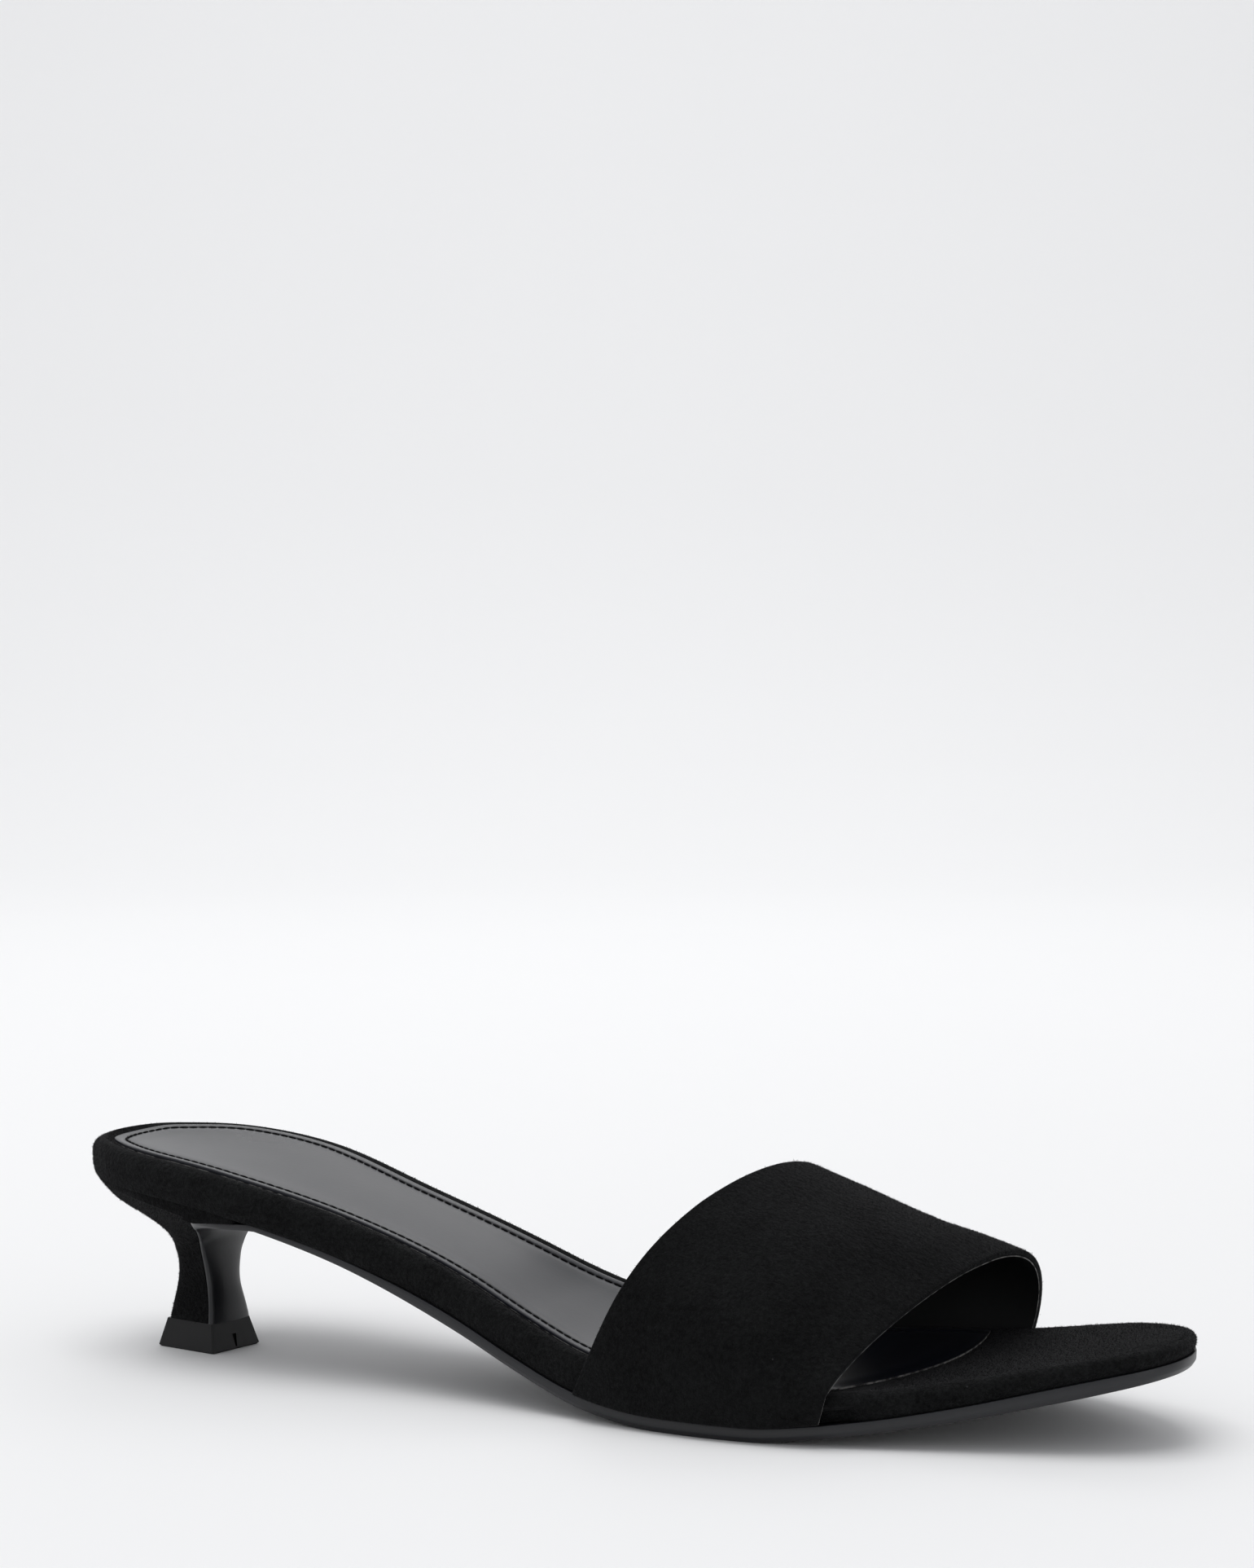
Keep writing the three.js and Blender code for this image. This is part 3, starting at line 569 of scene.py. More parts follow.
def raise_nap(name, piece, chosen, seed):
    """Fibres on the chosen faces of a suede piece, as a piece of their own."""
    form = bmesh.new()
    form.from_mesh(piece.data)
    bare = [face for face in form.faces if not chosen(face)]
    bmesh.ops.delete(form, geom=bare, context="FACES")
    ground = bpy.data.meshes.new(name)
    form.to_mesh(ground)
    form.free()
    values = {
        "Density": NAP_PER_SQUARE_MM * 1e6,
        "Fibre length": NAP_LENGTH / 1000,
        "Fibre width": NAP_WIDTH / 1000,
        "Seed": seed,
        "Fibre": nap_material,
    }
    return grow(name, add_object(name + "_ground", ground), napping, values, nap_material)


def open_wrap(face):
    """The wrap's sides and rim, and its bare area at the toe."""
    along = face.calc_center_median().x * 1000 - SHOE_BACK
    return -0.5 < face.normal.z < 0.9 or (face.normal.z > 0 and along > BARE_TOE_FROM)


wrap_nap = raise_nap("footbed_nap", footbed, open_wrap, 11)
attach(wrap_nap, "root")

# Band
# One wide strap over the toes: black suede outside, a thin smooth lining inside, both cut flush at the
# front and back openings. It is pulled down the footbed's sides and lasted under, so its feet go in
# between the footbed and the outsole.
BAND_HEIGHT = 48.9
BAND_WALL = 1.6
SUEDE_THICKNESS = 1.32
GLUE_GAP = 0.02
SUEDE_SOFTENED, LINING_SOFTENED = 0.45, 0.06
BAND_STEPS = 96
ARCH_STEPS = 150
FOOT_STEPS = 14
FOOT_SHARE = 3 / 28

# at, outer, inner, crest, height, peak, skew: from the back edge to the front edge, both feet and the
# crest as shares of the length, the crest's height as a share of the band's, how pointed the arch is,
# and how far it leans to the inner side
BAND = [
    (0, 0.5225, 0.584, 0.634, 1, 0.6, 0.12),
    (0.5, 0.6315, 0.694, 0.738, 0.795, 0.76, 0.14),
    (1, 0.741, 0.814, 0.8045, 0.656, 1.04, 0.46),
]
band = columns(BAND, "outer", "inner", "crest", "height", "peak", "skew")

# along, over, length, width, turn, depth: soft creases of the strap, placed as shares of the strap from
# back to front and from the outer to the inner foot, their sizes in mm and degrees; a ridge has a
# negative depth
BAND_CREASES = [
    (0.42, 0.46, 46, 11, 62, 0.35),
    (0.7, 0.6, 30, 7, 40, 0.25),
    (0.55, 0.3, 38, 9, 78, -0.25),
    (0.8, 0.28, 26, 6, 20, 0.2),
    (0.25, 0.72, 30, 9, 70, 0.22),
    (0.15, 0.35, 34, 8, 8, -0.15),
]


def facing_across(side, x):
    """How squarely one side of the last faces across the shoe, with its sign."""
    step = 0.4
    rise = side_at(side, x + step) - side_at(side, np.maximum(x - step, 0))
    run = x + step - np.maximum(x - step, 0)
    sign = 1 if side is outer_side else -1
    return -sign * run / np.hypot(rise, run)


def foot_line(side, x):
    """Where the band's outer face stands beside the footbed."""
    return side_at(side, x) + (SIDE_BULGE + CLEARANCE + BAND_WALL) / facing_across(side, x)


def mixed(a, b, share):
    return a + (b - a) * share


def band_surface(along, over):
    """Outer face of the band: along 0 at the back to 1 at the front, over 0 at the outer foot to 1."""
    arch = np.clip((over - FOOT_SHARE) / (1 - 2 * FOOT_SHARE), 0, 1)
    climb = np.minimum(np.minimum(over, 1 - over), FOOT_SHARE) / FOOT_SHARE
    angle = np.pi * arch
    across = (1 - np.cos(angle)) / 2
    lean_angle = angle - band["skew"](along) * np.sin(angle)
    lift = np.maximum(np.sin(lean_angle), 0) ** band["peak"](along)
    outer_x, inner_x, crest_x = (band[name](along) * LENGTH for name in ("outer", "inner", "crest"))
    crest_z = band["height"](along) * BAND_HEIGHT
    foot = mixed(footbed_bottom(outer_x), footbed_bottom(inner_x), across)
    rim = mixed(footbed_top(outer_x), footbed_top(inner_x), across)
    z = mixed(mixed(foot, rim, climb), crest_z, lift)
    lean = np.maximum((z - foot) / (crest_z - foot), 0)
    reach = (crest_x - (outer_x + inner_x) / 2) * lean
    outer_y = foot_line(outer_side, outer_x + reach * (1 - lift))
    inner_y = foot_line(inner_side, inner_x + reach * (1 - lift))
    return np.stack([mixed(outer_x, inner_x, across) + reach, mixed(outer_y, inner_y, across), z], axis=-1)


def band_grid(offset):
    """Grid of points a distance inside the band's outer face, with the creases pressed in."""
    along = np.linspace(0, 1, BAND_STEPS + 1)[:, None]
    feet = np.linspace(0, FOOT_SHARE, FOOT_STEPS + 1)
    over = np.concatenate([feet[:-1], np.linspace(FOOT_SHARE, 1 - FOOT_SHARE, ARCH_STEPS + 1), 1 - feet[-2::-1]])
    along, over = np.broadcast_arrays(along, over[None, :])
    point = band_surface(along, over)
    step = 0.004
    ahead = band_surface(np.minimum(along + step, 1), over) - band_surface(np.maximum(along - step, 0), over)
    aside = band_surface(along, np.minimum(over + step, 1)) - band_surface(along, np.maximum(over - step, 0))
    inwards = np.cross(aside, ahead)
    inwards /= np.linalg.norm(inwards, axis=-1, keepdims=True)
    depth = np.full(along.shape, float(offset))
    for at, side, long, wide, turn, deep in BAND_CREASES:
        away = point - band_surface(np.array(at), np.array(side))
        spot = int(at * BAND_STEPS), int(side * (along.shape[1] - 1))
        first = ahead[spot] / np.linalg.norm(ahead[spot])
        second = np.cross(inwards[spot], first)
        a = math.radians(turn)
        u = away @ (first * math.cos(a) + second * math.sin(a))
        v = away @ (second * math.cos(a) - first * math.sin(a))
        depth = depth + deep * np.exp(-((u / (long / 2)) ** 2) - (v / (wide / 2)) ** 2)
    moved = point + inwards * depth[..., None]
    moved[:, [0, -1], 2] = point[:, [0, -1], 2]
    return moved


def sheet(name, top, bottom, rim_slot=1, pointed=False):
    """Closed sheet between two grids of points. A pointed one folds its first row together at a tip."""
    rows, across = top.shape[:2]
    size = rows * across
    faces = grid_faces(rows, across)
    faces += [tuple(size + i for i in face[::-1]) for face in faces]
    slots = [0] * len(faces)
    loop = [(0, c) for c in range(across)] + [(r, across - 1) for r in range(1, rows)]
    loop += [(rows - 1, c) for c in range(across - 2, -1, -1)] + [(r, 0) for r in range(rows - 2, 0, -1)]
    edge = [r * across + c for r, c in loop]
    pairs = [(edge[i - 1], edge[i]) for i in range(len(edge))]
    rim = [(a, b, size + b, size + a) for a, b in pairs if not (pointed and a < across and b < across)]
    points = np.concatenate([top.reshape(-1, 3), bottom.reshape(-1, 3)])
    return add_piece(name, points, faces + rim, slots=slots + [rim_slot] * len(rim))


band_suede = sheet("band_suede", band_grid(0), band_grid(SUEDE_THICKNESS), rim_slot=0)
band_lining = sheet("band_lining", band_grid(SUEDE_THICKNESS + GLUE_GAP), band_grid(BAND_WALL))
for piece, softened in ((band_suede, SUEDE_SOFTENED), (band_lining, LINING_SOFTENED)):
    cut = piece.modifiers.new("softened cut edge", "BEVEL")
    cut.width = softened / 1000
    cut.segments = 3
    cut.angle_limit = math.radians(50)

# Cut edge of the lining and of the sock: undyed fibres show, a shade lighter than the leather's faces. The suede's
# cut edge keeps the suede itself
raw_edge = drifting(
    "raw cut edge of leather", 1.6, 3, ("#1b1b1c", "#7d7c7a"), (0.8, 0.8), spread=(0.4, 0.62), IOR=1.5
)

# Lining: thin smooth calf or pigskin, dyed black, with a faint grain and a dull polish from handling
lining_leather = drifting(
    "smooth black lining leather", 14, 3, ("#040506", "#090b0c"), (0.5, 0.5), (0.9, None, 0.15, 0.1), IOR=1.5
)

band_suede.data.materials.append(black_suede("black suede, band", "#030303", "#171818", 13, 0.95, 0.12))
band_lining.data.materials.append(lining_leather)
band_lining.data.materials.append(raw_edge)
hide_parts("band")
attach(band_suede, "root")
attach(band_lining, "root")

band_outer_faces = BAND_STEPS * (ARCH_STEPS + 2 * FOOT_STEPS)
band_nap = raise_nap("band_nap", band_suede, lambda face: face.index < band_outer_faces, 23)
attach(band_nap, "root")

# Heel
# A moulded plastic post that flares into the seat, covered in the same black suede. Two thin wings run
# forward between the footbed and the outsole. It is screwed on from inside, through the insole board.
HEEL_FROM_BACK = 22.9
HEEL_TURN = -11
HEEL_BASE_LENGTH = 13.2
HEEL_BASE_WIDTH = 11.4
COVER_THICKNESS = 1
TOP_PIECE_HEIGHT = 6.3
HEEL_LEVELS = 80
HEEL_SIDE_STEPS = 44
BREAST_STEPS = 14
BACK_SHARE = 0.75
SEAT_GAP = 0.05
TOP_GAP = 0.02
WING_STEPS = 16
WING_TIP = 0.1
COVER_BUILD = CLEARANCE + COVER_THICKNESS
HEEL_BOTTOM = TOP_PIECE_HEIGHT + CLEARANCE
WING_END = BREAST_FROM_BACK + 0.7 * WING_REACH

# at, back, front, half, square, flare_back, flare_front: from the base up, the post's reach and half
# width as shares of the base's, how square its back is, and how far it has flared out to the seat
HEEL = [
    (0, 1.04, 1, 1.08, 6, 0, 0),
    (0.1, 1, 0.95, 0.99, 4.5, 0, 0),
    (0.25, 0.91, 0.84, 0.88, 3.4, 0, 0),
    (0.45, 0.86, 0.72, 0.86, 2.8, 0.04, 0.03),
    (0.6, 0.86, 0.62, 0.86, 2.5, 0.17, 0.1),
    (0.73, 0.86, 0.58, 0.86, 2.3, 0.47, 0.22),
    (0.86, 0.86, 0.58, 0.86, 2.2, 0.81, 0.52),
    (1, 0.86, 0.58, 0.86, 2.1, 1, 1),
]
heel_form = columns(HEEL, "back", "front", "half", "square", "flare_back", "flare_front")
wing_form = smooth_curve((0, 0.55, 1), (0.25, 0.6, 1))
heel_middle = (side_at(outer_side, HEEL_FROM_BACK) + side_at(inner_side, HEEL_FROM_BACK)) / 2


def seat_line(x):
    """Level where the heel's seat or the sole lies under the footbed."""
    behind = WING_DEPTH * wing_form(x / BREAST_FROM_BACK)
    ahead = WING_DEPTH * np.maximum(0, 1 - (x - BREAST_FROM_BACK) / WING_REACH)
    return footbed_bottom(x) - np.where(x < BREAST_FROM_BACK, behind, ahead)


def on_heel(along, across):
    """Point on the heel's own axes, which are turned about its post."""
    a = math.radians(HEEL_TURN)
    x = HEEL_FROM_BACK + along * math.cos(a) - across * math.sin(a)
    return x, heel_middle + along * math.sin(a) + across * math.cos(a)


def heel_side(sign, way, up):
    """Points of the heel's side: sign -1 outer or 1 inner, way 0 at the back to 1 at the breast, up 0 to 1."""
    side = outer_side if sign < 0 else inner_side
    way, up = np.broadcast_arrays(np.asarray(way, float), np.asarray(up, float))
    angle = np.minimum(way / BACK_SHARE, 1) * np.pi / 2
    forward = np.maximum(way - BACK_SHARE, 0) / (1 - BACK_SHARE)
    power = 2 / heel_form["square"](up)
    back = heel_form["back"](up) * HEEL_BASE_LENGTH / 2
    front = heel_form["front"](up) * HEEL_BASE_LENGTH / 2 - COVER_BUILD
    half = heel_form["half"](up) * HEEL_BASE_WIDTH / 2
    along = np.where(forward > 0, front * forward, -back * np.maximum(np.cos(angle), 0) ** power)
    post_x, post_y = on_heel(along, sign * half * np.sin(angle) ** power)
    seat_x = np.where(
        forward > 0,
        mixed(HEEL_FROM_BACK, BREAST_FROM_BACK - COVER_BUILD, forward),
        HEEL_FROM_BACK * (1 - np.cos(angle)),
    )
    across = facing_across(side, seat_x)
    along_in = np.sqrt(np.maximum(1 - across**2, 0))
    seat_y = side_at(side, seat_x) - SEAT_INSET * across
    seat_in = seat_x + SEAT_INSET * along_in
    flare = mixed(heel_form["flare_back"](up), heel_form["flare_front"](up), way**2)
    level = mixed(HEEL_BOTTOM, seat_line(np.maximum(seat_in, 0)) + CLEARANCE, up)
    return np.stack([mixed(post_x, seat_in, flare), mixed(post_y, seat_y, flare), level], axis=-1)


levels = np.linspace(0, 1, HEEL_LEVELS + 1)[:, None]
ways = np.linspace(0, 1, HEEL_SIDE_STEPS + 1)[None, :]
heel_outer = heel_side(-1, ways, levels)
heel_inner = heel_side(1, ways, levels)
shares = (np.arange(1, BREAST_STEPS) / BREAST_STEPS)[None, :, None]
heel_breast = mixed(heel_outer[:, -1:], heel_inner[:, -1:], shares)
heel_grid = np.concatenate([heel_outer, heel_breast, heel_inner[:, :0:-1]], axis=1)
seat_row = heel_grid[-1:].copy()
seat_row[..., 2] = footbed_bottom(np.maximum(seat_row[..., 0], 0)) - SEAT_GAP
heel_grid = np.concatenate([heel_grid, seat_row])
heel_grid[0, :, 2] = TOP_PIECE_HEIGHT + TOP_GAP

# Wings: a wedge from the breast forward
wing_x = np.linspace(BREAST_FROM_BACK - 2 * COVER_BUILD, WING_END, WING_STEPS)
wing_top = footbed_bottom(wing_x) - SEAT_GAP
wing_under = np.minimum(seat_line(wing_x) - CLEARANCE * 0.9, wing_top - WING_TIP)
wing_outer = side_at(outer_side, wing_x) + SEAT_INSET
wing_inner = side_at(inner_side, wing_x) - SEAT_INSET
wing_grid = np.stack(
    [
        np.column_stack([wing_x, wing_outer, wing_under]),
        np.column_stack([wing_x, wing_inner, wing_under]),
        np.column_stack([wing_x, wing_inner, wing_top]),
        np.column_stack([wing_x, wing_outer, wing_top]),
    ],
    axis=1,
)
heel_faces = tube_faces(*heel_grid.shape[:2]) + tube_faces(WING_STEPS, 4, heel_grid.size // 3)
heel_points = np.concatenate([heel_grid.reshape(-1, 3), wing_grid.reshape(-1, 3)])
heel = add_piece("heel_cover", heel_points, heel_faces, sharp=55)
heel.data.materials.append(black_suede("black suede, heel cover", "#020202", "#171818", 8, 0.85, 0.1))
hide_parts("heel")
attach(heel, "root")


def open_cover(face):
    """The cover's back and sides, without the breast that the sole's tail hides."""
    return abs(face.normal.z) < 0.9 and face.normal.x < 0.75


heel_nap = raise_nap("heel_nap", heel, open_cover, 37)
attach(heel_nap, "root")

# Outsole
# A thin sheet of smooth dark sole leather with a painted, bevelled edge. It is glued under the footbed
# and turned down the front of the heel, where it ends just above the top piece.
SOLE_MARGIN = 0.6
TAIL_INSET = 1.2
TAIL_BLEND = 60
FOLD_REACH = 5.5
FOLD_UP = 0.84
FOLD_STEPS = 20
FOLD_SPREAD = 0.8
FOLD_TIGHTNESS = 3
TAIL_BEVEL = 0.35
BREAST_LEVELS = 50
SOLE_ACROSS = 13
BREAST_BOW = 0.9
BOW_ENDS = 8

# share of the thickness from the top, inset at full thickness: the edge's outline
SOLE_EDGE = [(0, 0.2), (0.03, 0.06), (0.08, 0), (0.58, 0), (0.64, 0.04), (0.7, 0.14), (0.94, 0.62), (1, 0.82)]


def sole_inset(x):
    """The sole stands out past the footbed, and draws in where its tail meets the heel."""
    return mixed(TAIL_INSET, -SOLE_MARGIN, ease((x - BREAST_FROM_BACK) / TAIL_BLEND))


def breast_line(sign, layer, inset, up):
    """Edge of the sheet down the breast, at a share of its thickness and an inset in mm."""
    step = 0.01
    outer, inner = heel_side(-1, 1, up), heel_side(1, 1, up)
    over, low = np.minimum(up + step, 1), np.maximum(up - step, 0)
    rise = heel_side(-1, 1, over) + heel_side(1, 1, over) - heel_side(-1, 1, low) - heel_side(1, 1, low)
    across = inner - outer
    across /= np.linalg.norm(across, axis=-1, keepdims=True)
    normal = np.cross(across, rise)
    normal /= np.linalg.norm(normal, axis=-1, keepdims=True)
    edge = outer if sign < 0 else inner
    return edge - sign * across * inset + normal * (CLEARANCE + layer * COVER_THICKNESS)


def sole_line(sign, layer, inset):
    """One edge of the sheet, from the bottom of the breast, round the fold and along the sole to the toe."""
    outer, inner = both_sides(
        ring(
            lambda x: sole_inset(x) + inset * sole_thickness(x) / SOLE_THICKNESS,
            lambda x: seat_line(x) - CLEARANCE - layer * sole_thickness(x),
        )
    )
    side = outer if sign < 0 else inner
    flat = side[outline[: STATIONS + 1, 0] > BREAST_FROM_BACK + FOLD_REACH]
    breast = breast_line(sign, layer, inset * TAIL_BEVEL, np.linspace(0, FOLD_UP, BREAST_LEVELS))
    breast[0, 2] = TOP_PIECE_HEIGHT + TOP_GAP
    fall = breast[-1] - breast[-2]
    slope = flat[0] - flat[1]
    a = np.array([[fall[0], -slope[0]], [fall[2], -slope[2]]])
    reach = np.linalg.solve(a, (flat[0] - breast[-1])[[0, 2]])
    corner = breast[-1] + fall * reach[0]
    corner[1] = mixed(breast[-1], flat[0], FOLD_SPREAD)[1]
    u = np.linspace(0, 1, FOLD_STEPS + 2)[1:-1, None]
    # The fold is tight where the sheet touches the heel and round on its outer face
    pull = 1 + FOLD_TIGHTNESS * (1 - layer)
    weights = (1 - u) ** 2 + 2 * pull * u * (1 - u) + u**2
    fold = (breast[-1] * (1 - u) ** 2 + 2 * pull * corner * u * (1 - u) + flat[0] * u**2) / weights
    return np.concatenate([breast, fold, flat])


shares = np.linspace(0, 1, SOLE_ACROSS)[:, None]
sole_loops, sole_lids = [], []
for layer, inset in SOLE_EDGE:
    outer_line, inner_line = sole_line(-1, layer, inset), sole_line(1, layer, inset)
    # The sheet's outer face bows forward a little down the breast
    bow = BREAST_BOW * layer * 4 * shares[:, 0] * (1 - shares[:, 0])
    tail_end = mixed(inner_line[0], outer_line[0], shares[1:-1])
    tail_end[:, 0] += bow[1:-1]
    sole_loops.append(np.concatenate([outer_line, inner_line[::-1], tail_end]))
    if layer in (0, 1):
        lid = mixed(outer_line[:, None], inner_line[:, None], shares[None])
        down_breast = 1 - ease((np.arange(len(lid)) - BREAST_LEVELS + BOW_ENDS) / FOLD_STEPS)
        lid[..., 0] += bow * down_breast[:, None]
        sole_lids.append(lid)
rows = len(outer_line)
loop_count = len(sole_loops[0])
sole_points = np.concatenate([*sole_loops, *(face.reshape(-1, 3) for face in sole_lids)])
walls = grid_faces(len(sole_loops), loop_count, closed=True)
start = len(sole_loops) * loop_count
lids = grid_faces(rows, SOLE_ACROSS, start) + grid_faces(rows, SOLE_ACROSS, start + rows * SOLE_ACROSS)
slots = [0] * len(walls) + [1] * len(lids)
outsole = add_piece("outsole_sheet", sole_points, walls + lids, sharp=30, slots=slots)

# Edge paint: two coats of dark ink over sanded leather, smooth with a soft gloss and slightly uneven
edge_paint = drifting(
    "painted leather edge", 6, 3, ("#0b0c10", "#15161b"), (0.3, 0.42), (6, 3, 0.12, 0.4), IOR=1.5
)

# Sole leather: rolled and lacquered on its outer face, with a fine pebble and a few dull rubs
sole_leather = drifting(
    "lacquered sole leather",
    22,
    5,
    ("#090a0d", "#101115"),
    (0.22, 0.4),
    (0.9, 1, 0.1, 0.1),
    rough=0.65,
    **{"IOR": 1.5, "Specular IOR Level": 0.36},
)
outsole.data.materials.append(edge_paint)
outsole.data.materials.append(sole_leather)
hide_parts("outsole")
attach(outsole, "root")

# Top piece
# A flared four-sided lift of hard black plastic, moulded with a small tapered notch in the front and
# nailed under the heel. Its edges are crisp, with the hairline radius of the mould.
top_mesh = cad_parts["top_piece"].data.copy()
form = bmesh.new()
form.from_mesh(top_mesh)
bmesh.ops.remove_doubles(form, verts=form.verts, dist=1e-5)
bmesh.ops.dissolve_limit(form, angle_limit=math.radians(2), verts=form.verts, edges=form.edges)
form.to_mesh(top_mesh)
form.free()
top_piece = add_object("top_piece_moulded", top_mesh)
radius = top_piece.modifiers.new("mould radius", "BEVEL")
radius.width = 0.00012
radius.segments = 3
radius.angle_limit = math.radians(25)
radius.harden_normals = True

# Moulded plastic: even colour, a very fine mould texture and a satin gloss
top_plastic = drifting(
    "moulded black plastic",
    7,
    4,
    ("#010102", "#040405"),
    (0.34, 0.52),
    (0.5, 2, 0.12, 0.08),
    **{"IOR": 1.49, "Specular IOR Level": 0.36},
)
top_mesh.materials.clear()
top_mesh.materials.append(top_plastic)
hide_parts("top_piece")
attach(top_piece, "root")

# Sock
# A smooth charcoal lining over thin foam, glued on the footbed. One row of stitches runs 2.6 mm inside its
# edge and pulls a shallow groove, so the margin outside it stands up a little. Its cut front edge lies
# under the band.
SOCK_THICKNESS = 0.8
SOCK_MARGIN = 4.2
SOCK_ROWS = 180
SOCK_MIDDLE = 20
SOCK_LIFT = 0.3 * CLEARANCE
STITCH_INSET = 2.6
GROOVE_HEIGHT = 0.75
SKIVE_FROM = 0.965
SKIVE_DEPTH = 0.6
SOCK_FRONT_OUTER, SOCK_FRONT_INNER, SOCK_FRONT_BOW = 0.72, 0.78, 0.037

# distance from the edge, height as a share of the thickness: across the margin and the stitch groove
SOCK_EDGE = [
    (0, 0.25), (0.04, 0.6), (0.12, 0.88), (0.3, 1.02), (0.9, 1.1), (1.7, 1.1), (2.15, 1), (2.4, 0.82),
    (STITCH_INSET, GROOVE_HEIGHT), (2.8, 0.82), (3.05, 1), (3.6, 1.15), (5, 1.25), (7, 1.22), (9, 1.2), (11, 1.2),
]


def sock_edge_line(inset):
    """Ring inside the outline, as one line for each side from the heel tip."""
    return [half[:, :2] for half in both_sides(ring(SOCK_MARGIN + inset, lambda x: x))]


def sock_front(share):
    """The sock's front edge from the outer side, 0, to the inner side, 1."""
    outer_x, inner_x = SOCK_FRONT_OUTER * LENGTH, SOCK_FRONT_INNER * LENGTH
    x = mixed(outer_x, inner_x, share) + SOCK_FRONT_BOW * LENGTH * 4 * share * (1 - share)
    return x, mixed(side_at(outer_side, outer_x), side_at(inner_side, inner_x), share)


def sock_front_ends(inset):
    """Shares of the front edge where a line inside the sock's edge meets it."""
    share = np.linspace(0, 1, 801)
    x, y = sock_front(share)
    outer, inner = sock_edge_line(inset)
    inside = (y > side_at(outer, x)) & (y < side_at(inner, x))
    return share[inside][0], share[inside][-1]


along = 1 - np.cos(np.linspace(0, np.pi / 2, SOCK_ROWS))
side_rows = {-1: [], 1: []}
for inset, _ in SOCK_EDGE:
    for sign, line, end in zip((-1, 1), sock_edge_line(inset), sock_front_ends(inset)):
        tip_x, front_x = line[0, 0], sock_front(end)[0]
        x = mixed(tip_x, front_x, along)
        side_rows[sign].append(np.column_stack([x, side_at(line, x)]))
outer_block = np.stack(side_rows[-1], axis=1)
inner_block = np.stack(side_rows[1][::-1], axis=1)
front_ends = sock_front_ends(SOCK_EDGE[-1][0])
share = np.linspace(0, 1, SOCK_MIDDLE + 2)[1:-1]
straight = mixed(outer_block[:, -1:], inner_block[:, :1], share[None, :, None])
front_x, front_y = sock_front(mixed(*front_ends, share))
bow = np.stack([front_x, front_y], axis=-1) - straight[-1]
middle_block = straight + bow[None] * (along**2)[:, None, None]
sock_plan = np.concatenate([outer_block, middle_block, inner_block], axis=1)
heights = [height for _, height in SOCK_EDGE]
lift = np.array([*heights, *[heights[-1]] * SOCK_MIDDLE, *heights[::-1]]) * SOCK_THICKNESS
base = footbed_surface(sock_plan[..., 0], sock_plan[..., 1]) + SOCK_LIFT
skived = 1 - SKIVE_DEPTH * ease((along[:, None] - SKIVE_FROM) / (1 - SKIVE_FROM))
sock_top = np.concatenate([sock_plan, (base + lift[None, :] * skived)[..., None]], axis=-1)
sock_under = np.concatenate([sock_plan, base[..., None]], axis=-1)
sock = sheet("sock_lining", sock_top, sock_under, pointed=True)

# Sock leather: smooth finished sheep leather, dyed charcoal. It has a soft, even sheen from the finish,
# a very faint grain and slight colour drift from the hide
sock_leather = drifting(
    "smooth charcoal sock leather", 28, 3, ("#080a12", "#0b0e19"), (0.25, 0.32), (0.8, None, 0.06, 0.1), IOR=1.41
)
sock.data.materials.append(sock_leather)
sock.data.materials.append(raw_edge)
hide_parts("sock")
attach(sock, "root")

# Stitches
# One row of bonded black polyester thread in the sock's groove, from under the band round the heel and
# back: stitches 2.1 mm apart, each a short bead of thread that sinks in at both ends.
STITCH_PITCH = 2.1
STITCH_LENGTH = 1.95
THREAD_WIDTH = 0.52
THREAD_RISE = 0.4
STITCH_FRONT = 172

stitch_lines = []
for line in sock_edge_line(STITCH_INSET):
    x = mixed(line[0, 0], STITCH_FRONT, along)
    stitch_lines.append(np.column_stack([x, side_at(line, x)]))
path = np.concatenate([stitch_lines[0][::-1], stitch_lines[1][1:]])
groove = GROOVE_HEIGHT * SOCK_THICKNESS + SOCK_LIFT
level = footbed_surface(path[:, 0], path[:, 1]) + groove + THREAD_RISE * THREAD_WIDTH
curve = bpy.data.curves.new("stitch_path", "CURVE")
curve.dimensions = "3D"
spline = curve.splines.new("POLY")
spline.points.add(len(path) - 1)
for point, (x, y), z in zip(spline.points, path, level):
    point.co = ((x + SHOE_BACK) / 1000, (y + SHOE_MIDDLE) / 1000, z / 1000, 1)
stitch_path = add_object("stitch_path", curve)

# Thread: bonded polyester, black, with the soft gloss of twisted filaments
thread_finish = {"IOR": 1.5, "Specular IOR Level": 0.15}
thread = drifting("black polyester thread", 0.5, 1, ("#030304", "#0a0a0b"), (0.8, 0.8), **thread_finish)

stitch_inputs = {"Path": "Geometry", "Pitch": "Float", "Stitch length": "Float", "Thread width": "Float"}
stitch_inputs |= {"Thread": "Material"}
stitching, given = new_group("row of stitches", stitch_inputs, "Stitches")
bead = add_node(stitching, "GeometryNodeMeshUVSphere", {"Segments": 8, "Rings": 6, "Radius": 0.5})
bead_size = add_node(
    stitching,
    "ShaderNodeCombineXYZ",
    {"X": given["Thread width"], "Y": given["Thread width"], "Z": given["Stitch length"]},
)
stitch = add_node(
    stitching,
    "GeometryNodeTransform",
    {"Geometry": bead.outputs["Mesh"], "Scale": bead_size.outputs["Vector"]},
)
places = add_node(
    stitching, "GeometryNodeCurveToPoints", {"Curve": given["Path"], "Length": given["Pitch"]}, mode="LENGTH"
)
sewn = add_node(
    stitching,
    "GeometryNodeInstanceOnPoints",
    {
        "Points": places.outputs["Points"],
        "Instance": stitch.outputs["Geometry"],
        "Rotation": places.outputs["Rotation"],
    },
)
real = add_node(stitching, "GeometryNodeRealizeInstances", {"Geometry": sewn.outputs["Instances"]})
dyed = add_node(
    stitching, "GeometryNodeSetMaterial", {"Geometry": real.outputs["Geometry"], "Material": given["Thread"]}
)
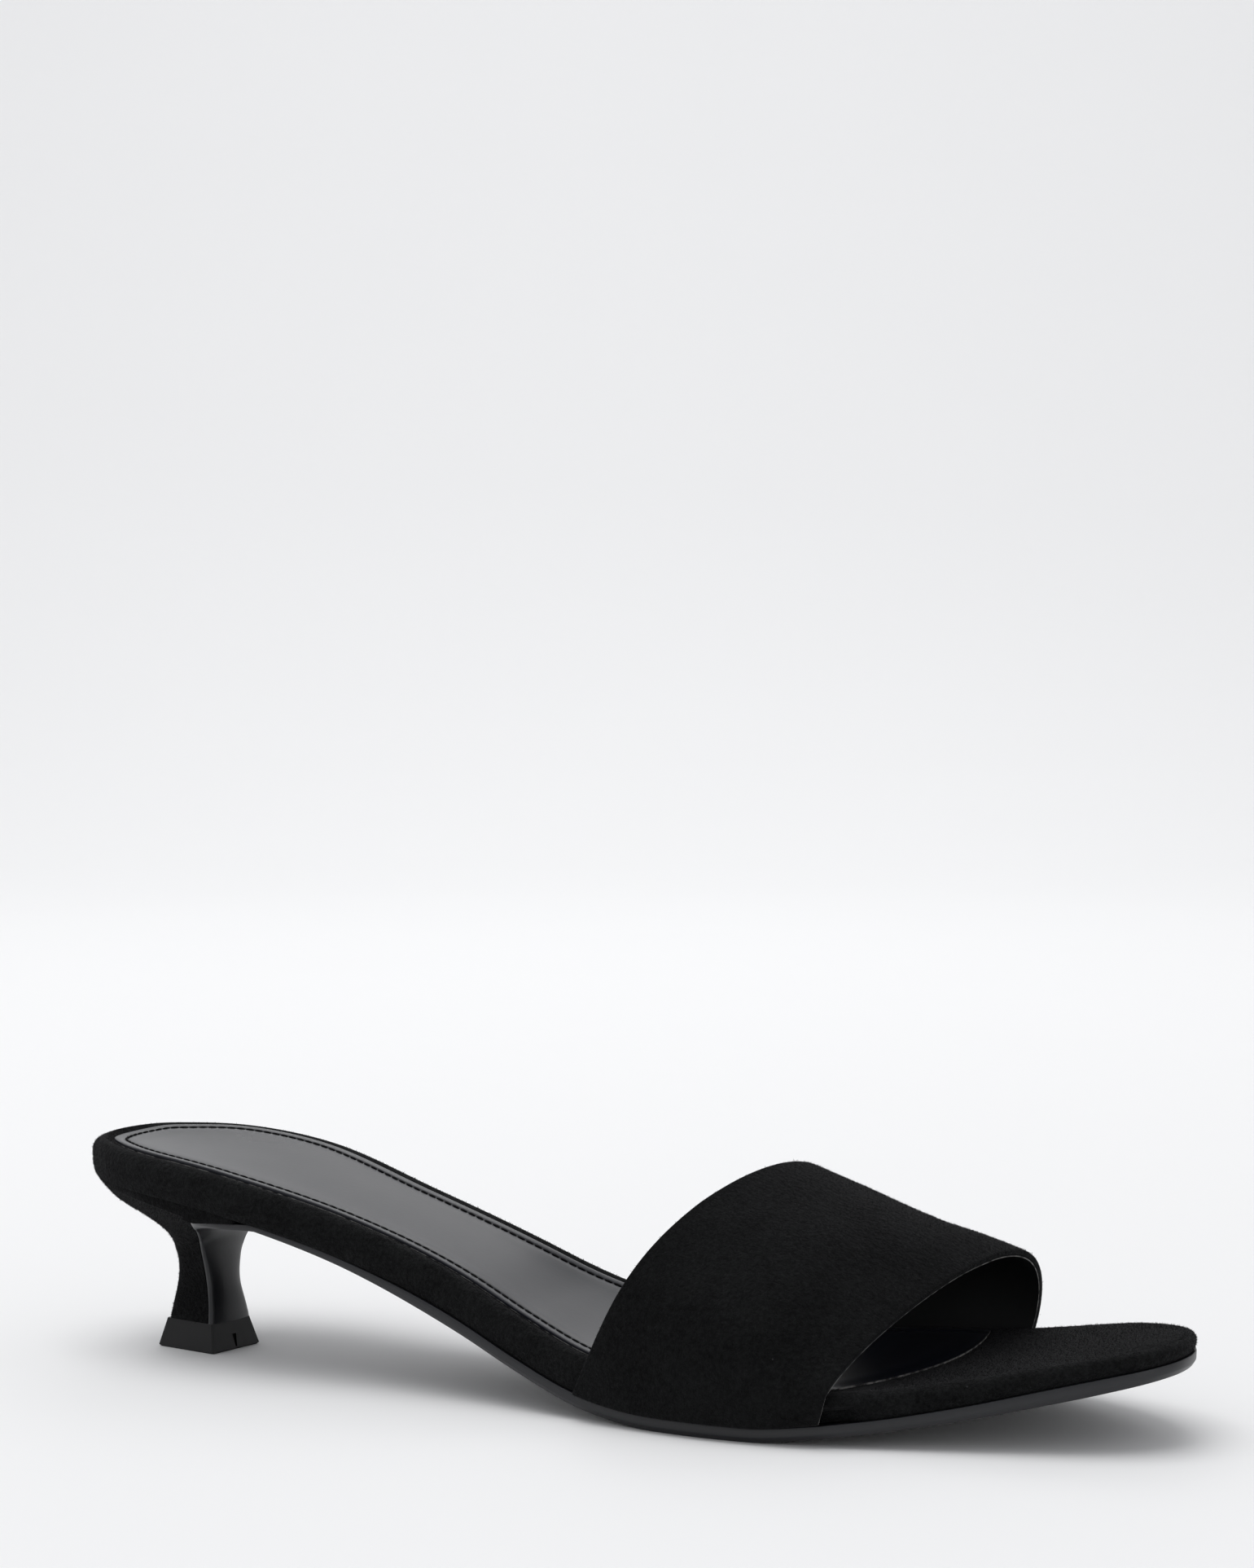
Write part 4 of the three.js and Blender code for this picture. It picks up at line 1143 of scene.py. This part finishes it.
add_node(stitching, "NodeGroupOutput", {"Stitches": dyed.outputs["Geometry"]})
values = {
    "Pitch": STITCH_PITCH / 1000,
    "Stitch length": STITCH_LENGTH / 1000,
    "Thread width": THREAD_WIDTH / 1000,
    "Thread": thread,
}
stitches = grow("sock_stitches", stitch_path, stitching, values, thread)
stitches.data.shade_smooth()
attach(stitches, "root")

# Studio
# A white paper sweep with the shoe standing on it in a bright room. A large soft light hangs overhead, a
# weak one behind the heel and one beyond the toe, and one turned away lights the sweep. The camera stands
# low at the shoe's outer front.
CAMERA_TURN = math.radians(25.38)
CAMERA_RISE = math.radians(11.23)
CAMERA_DISTANCE = 0.755
CAMERA_AIM = (-0.00005, -0.00216, 0.02)
SWEEP_FRONT, SWEEP_BEND, SWEEP_RADIUS, SWEEP_TOP, SWEEP_HALF_WIDTH = -3, 1.2, 1, 4, 5

sweep = bpy.data.meshes.new("studio_sweep")
sweep_line = [(SWEEP_FRONT, 0), (SWEEP_BEND, 0)]
for angle in np.linspace(0.1, math.pi / 2, 14):
    sweep_line.append((SWEEP_BEND + SWEEP_RADIUS * math.sin(angle), SWEEP_RADIUS * (1 - math.cos(angle))))
sweep_line.append((SWEEP_BEND + SWEEP_RADIUS, SWEEP_TOP))
corners = []
for distance, rise in sweep_line:
    for across in (-SWEEP_HALF_WIDTH, SWEEP_HALF_WIDTH):
        x = across * math.cos(CAMERA_TURN) - distance * math.sin(CAMERA_TURN)
        y = across * math.sin(CAMERA_TURN) + distance * math.cos(CAMERA_TURN)
        corners.append((x, y, rise))
sweep.from_pydata(corners, [], grid_faces(len(sweep_line), 2))
sweep.shade_smooth()
backdrop = add_object("studio_sweep", sweep)
sweep.materials.append(drifting("white studio paper", 125, 2, ("#f3f3f3", "#f4f4f4"), (0.9, 0.9)))


def soft_light(name, place, aim, size, power):
    """Square area light at a place in metres, turned towards a point."""
    lamp = bpy.data.lights.new(name, "AREA")
    lamp.size = size
    lamp.energy = power
    light = add_object(name, lamp)
    light.location = place
    way = np.array(place, float) - np.array(aim, float)
    flat = math.hypot(way[0], way[1])
    light.rotation_euler = (math.atan2(flat, way[2]), 0, math.atan2(way[0], -way[1]))


soft_light("overhead_softbox", (-0.2, -0.2, 1.6), (0, 0, 0), 1.3, 12)
soft_light("rear_strip", (-0.45, 1.15, 0.98), (0, 0, 0.02), 0.6, 1.2)
soft_light("toe_fill", (1.3, -0.6, 0.35), (0, 0, 0.02), 0.8, 0.8)
soft_light("sweep_wash", (-0.43, 0.9, 1.5), (-0.9, 1.9, 0.7), 1.6, 5.5)
world = bpy.data.worlds.new("studio")
bpy.context.scene.world = world
world.use_nodes = True
room = world.node_tree.nodes["Background"].inputs
room["Color"].default_value = from_hex("#fbfcff")
room["Strength"].default_value = 0.6
bpy.context.scene.view_settings.view_transform = "Standard"

# The camera stands 755 mm away, 11 degrees up, with a long lens shifted so that the shoe lies low in
# the frame
flat = CAMERA_DISTANCE * math.cos(CAMERA_RISE)
view = (flat * math.sin(CAMERA_TURN), -flat * math.cos(CAMERA_TURN), CAMERA_DISTANCE * math.sin(CAMERA_RISE))
lens = bpy.data.cameras.new("camera")
lens.lens = 83.3
lens.sensor_width = 36
lens.shift_x = 0.004535
lens.shift_y = 0.32404
lens.clip_start = 0.05
camera = add_object("camera", lens)
camera.location = np.add(CAMERA_AIM, view)
camera.rotation_euler = (math.pi / 2 - CAMERA_RISE, 0, CAMERA_TURN)
bpy.context.scene.camera = camera
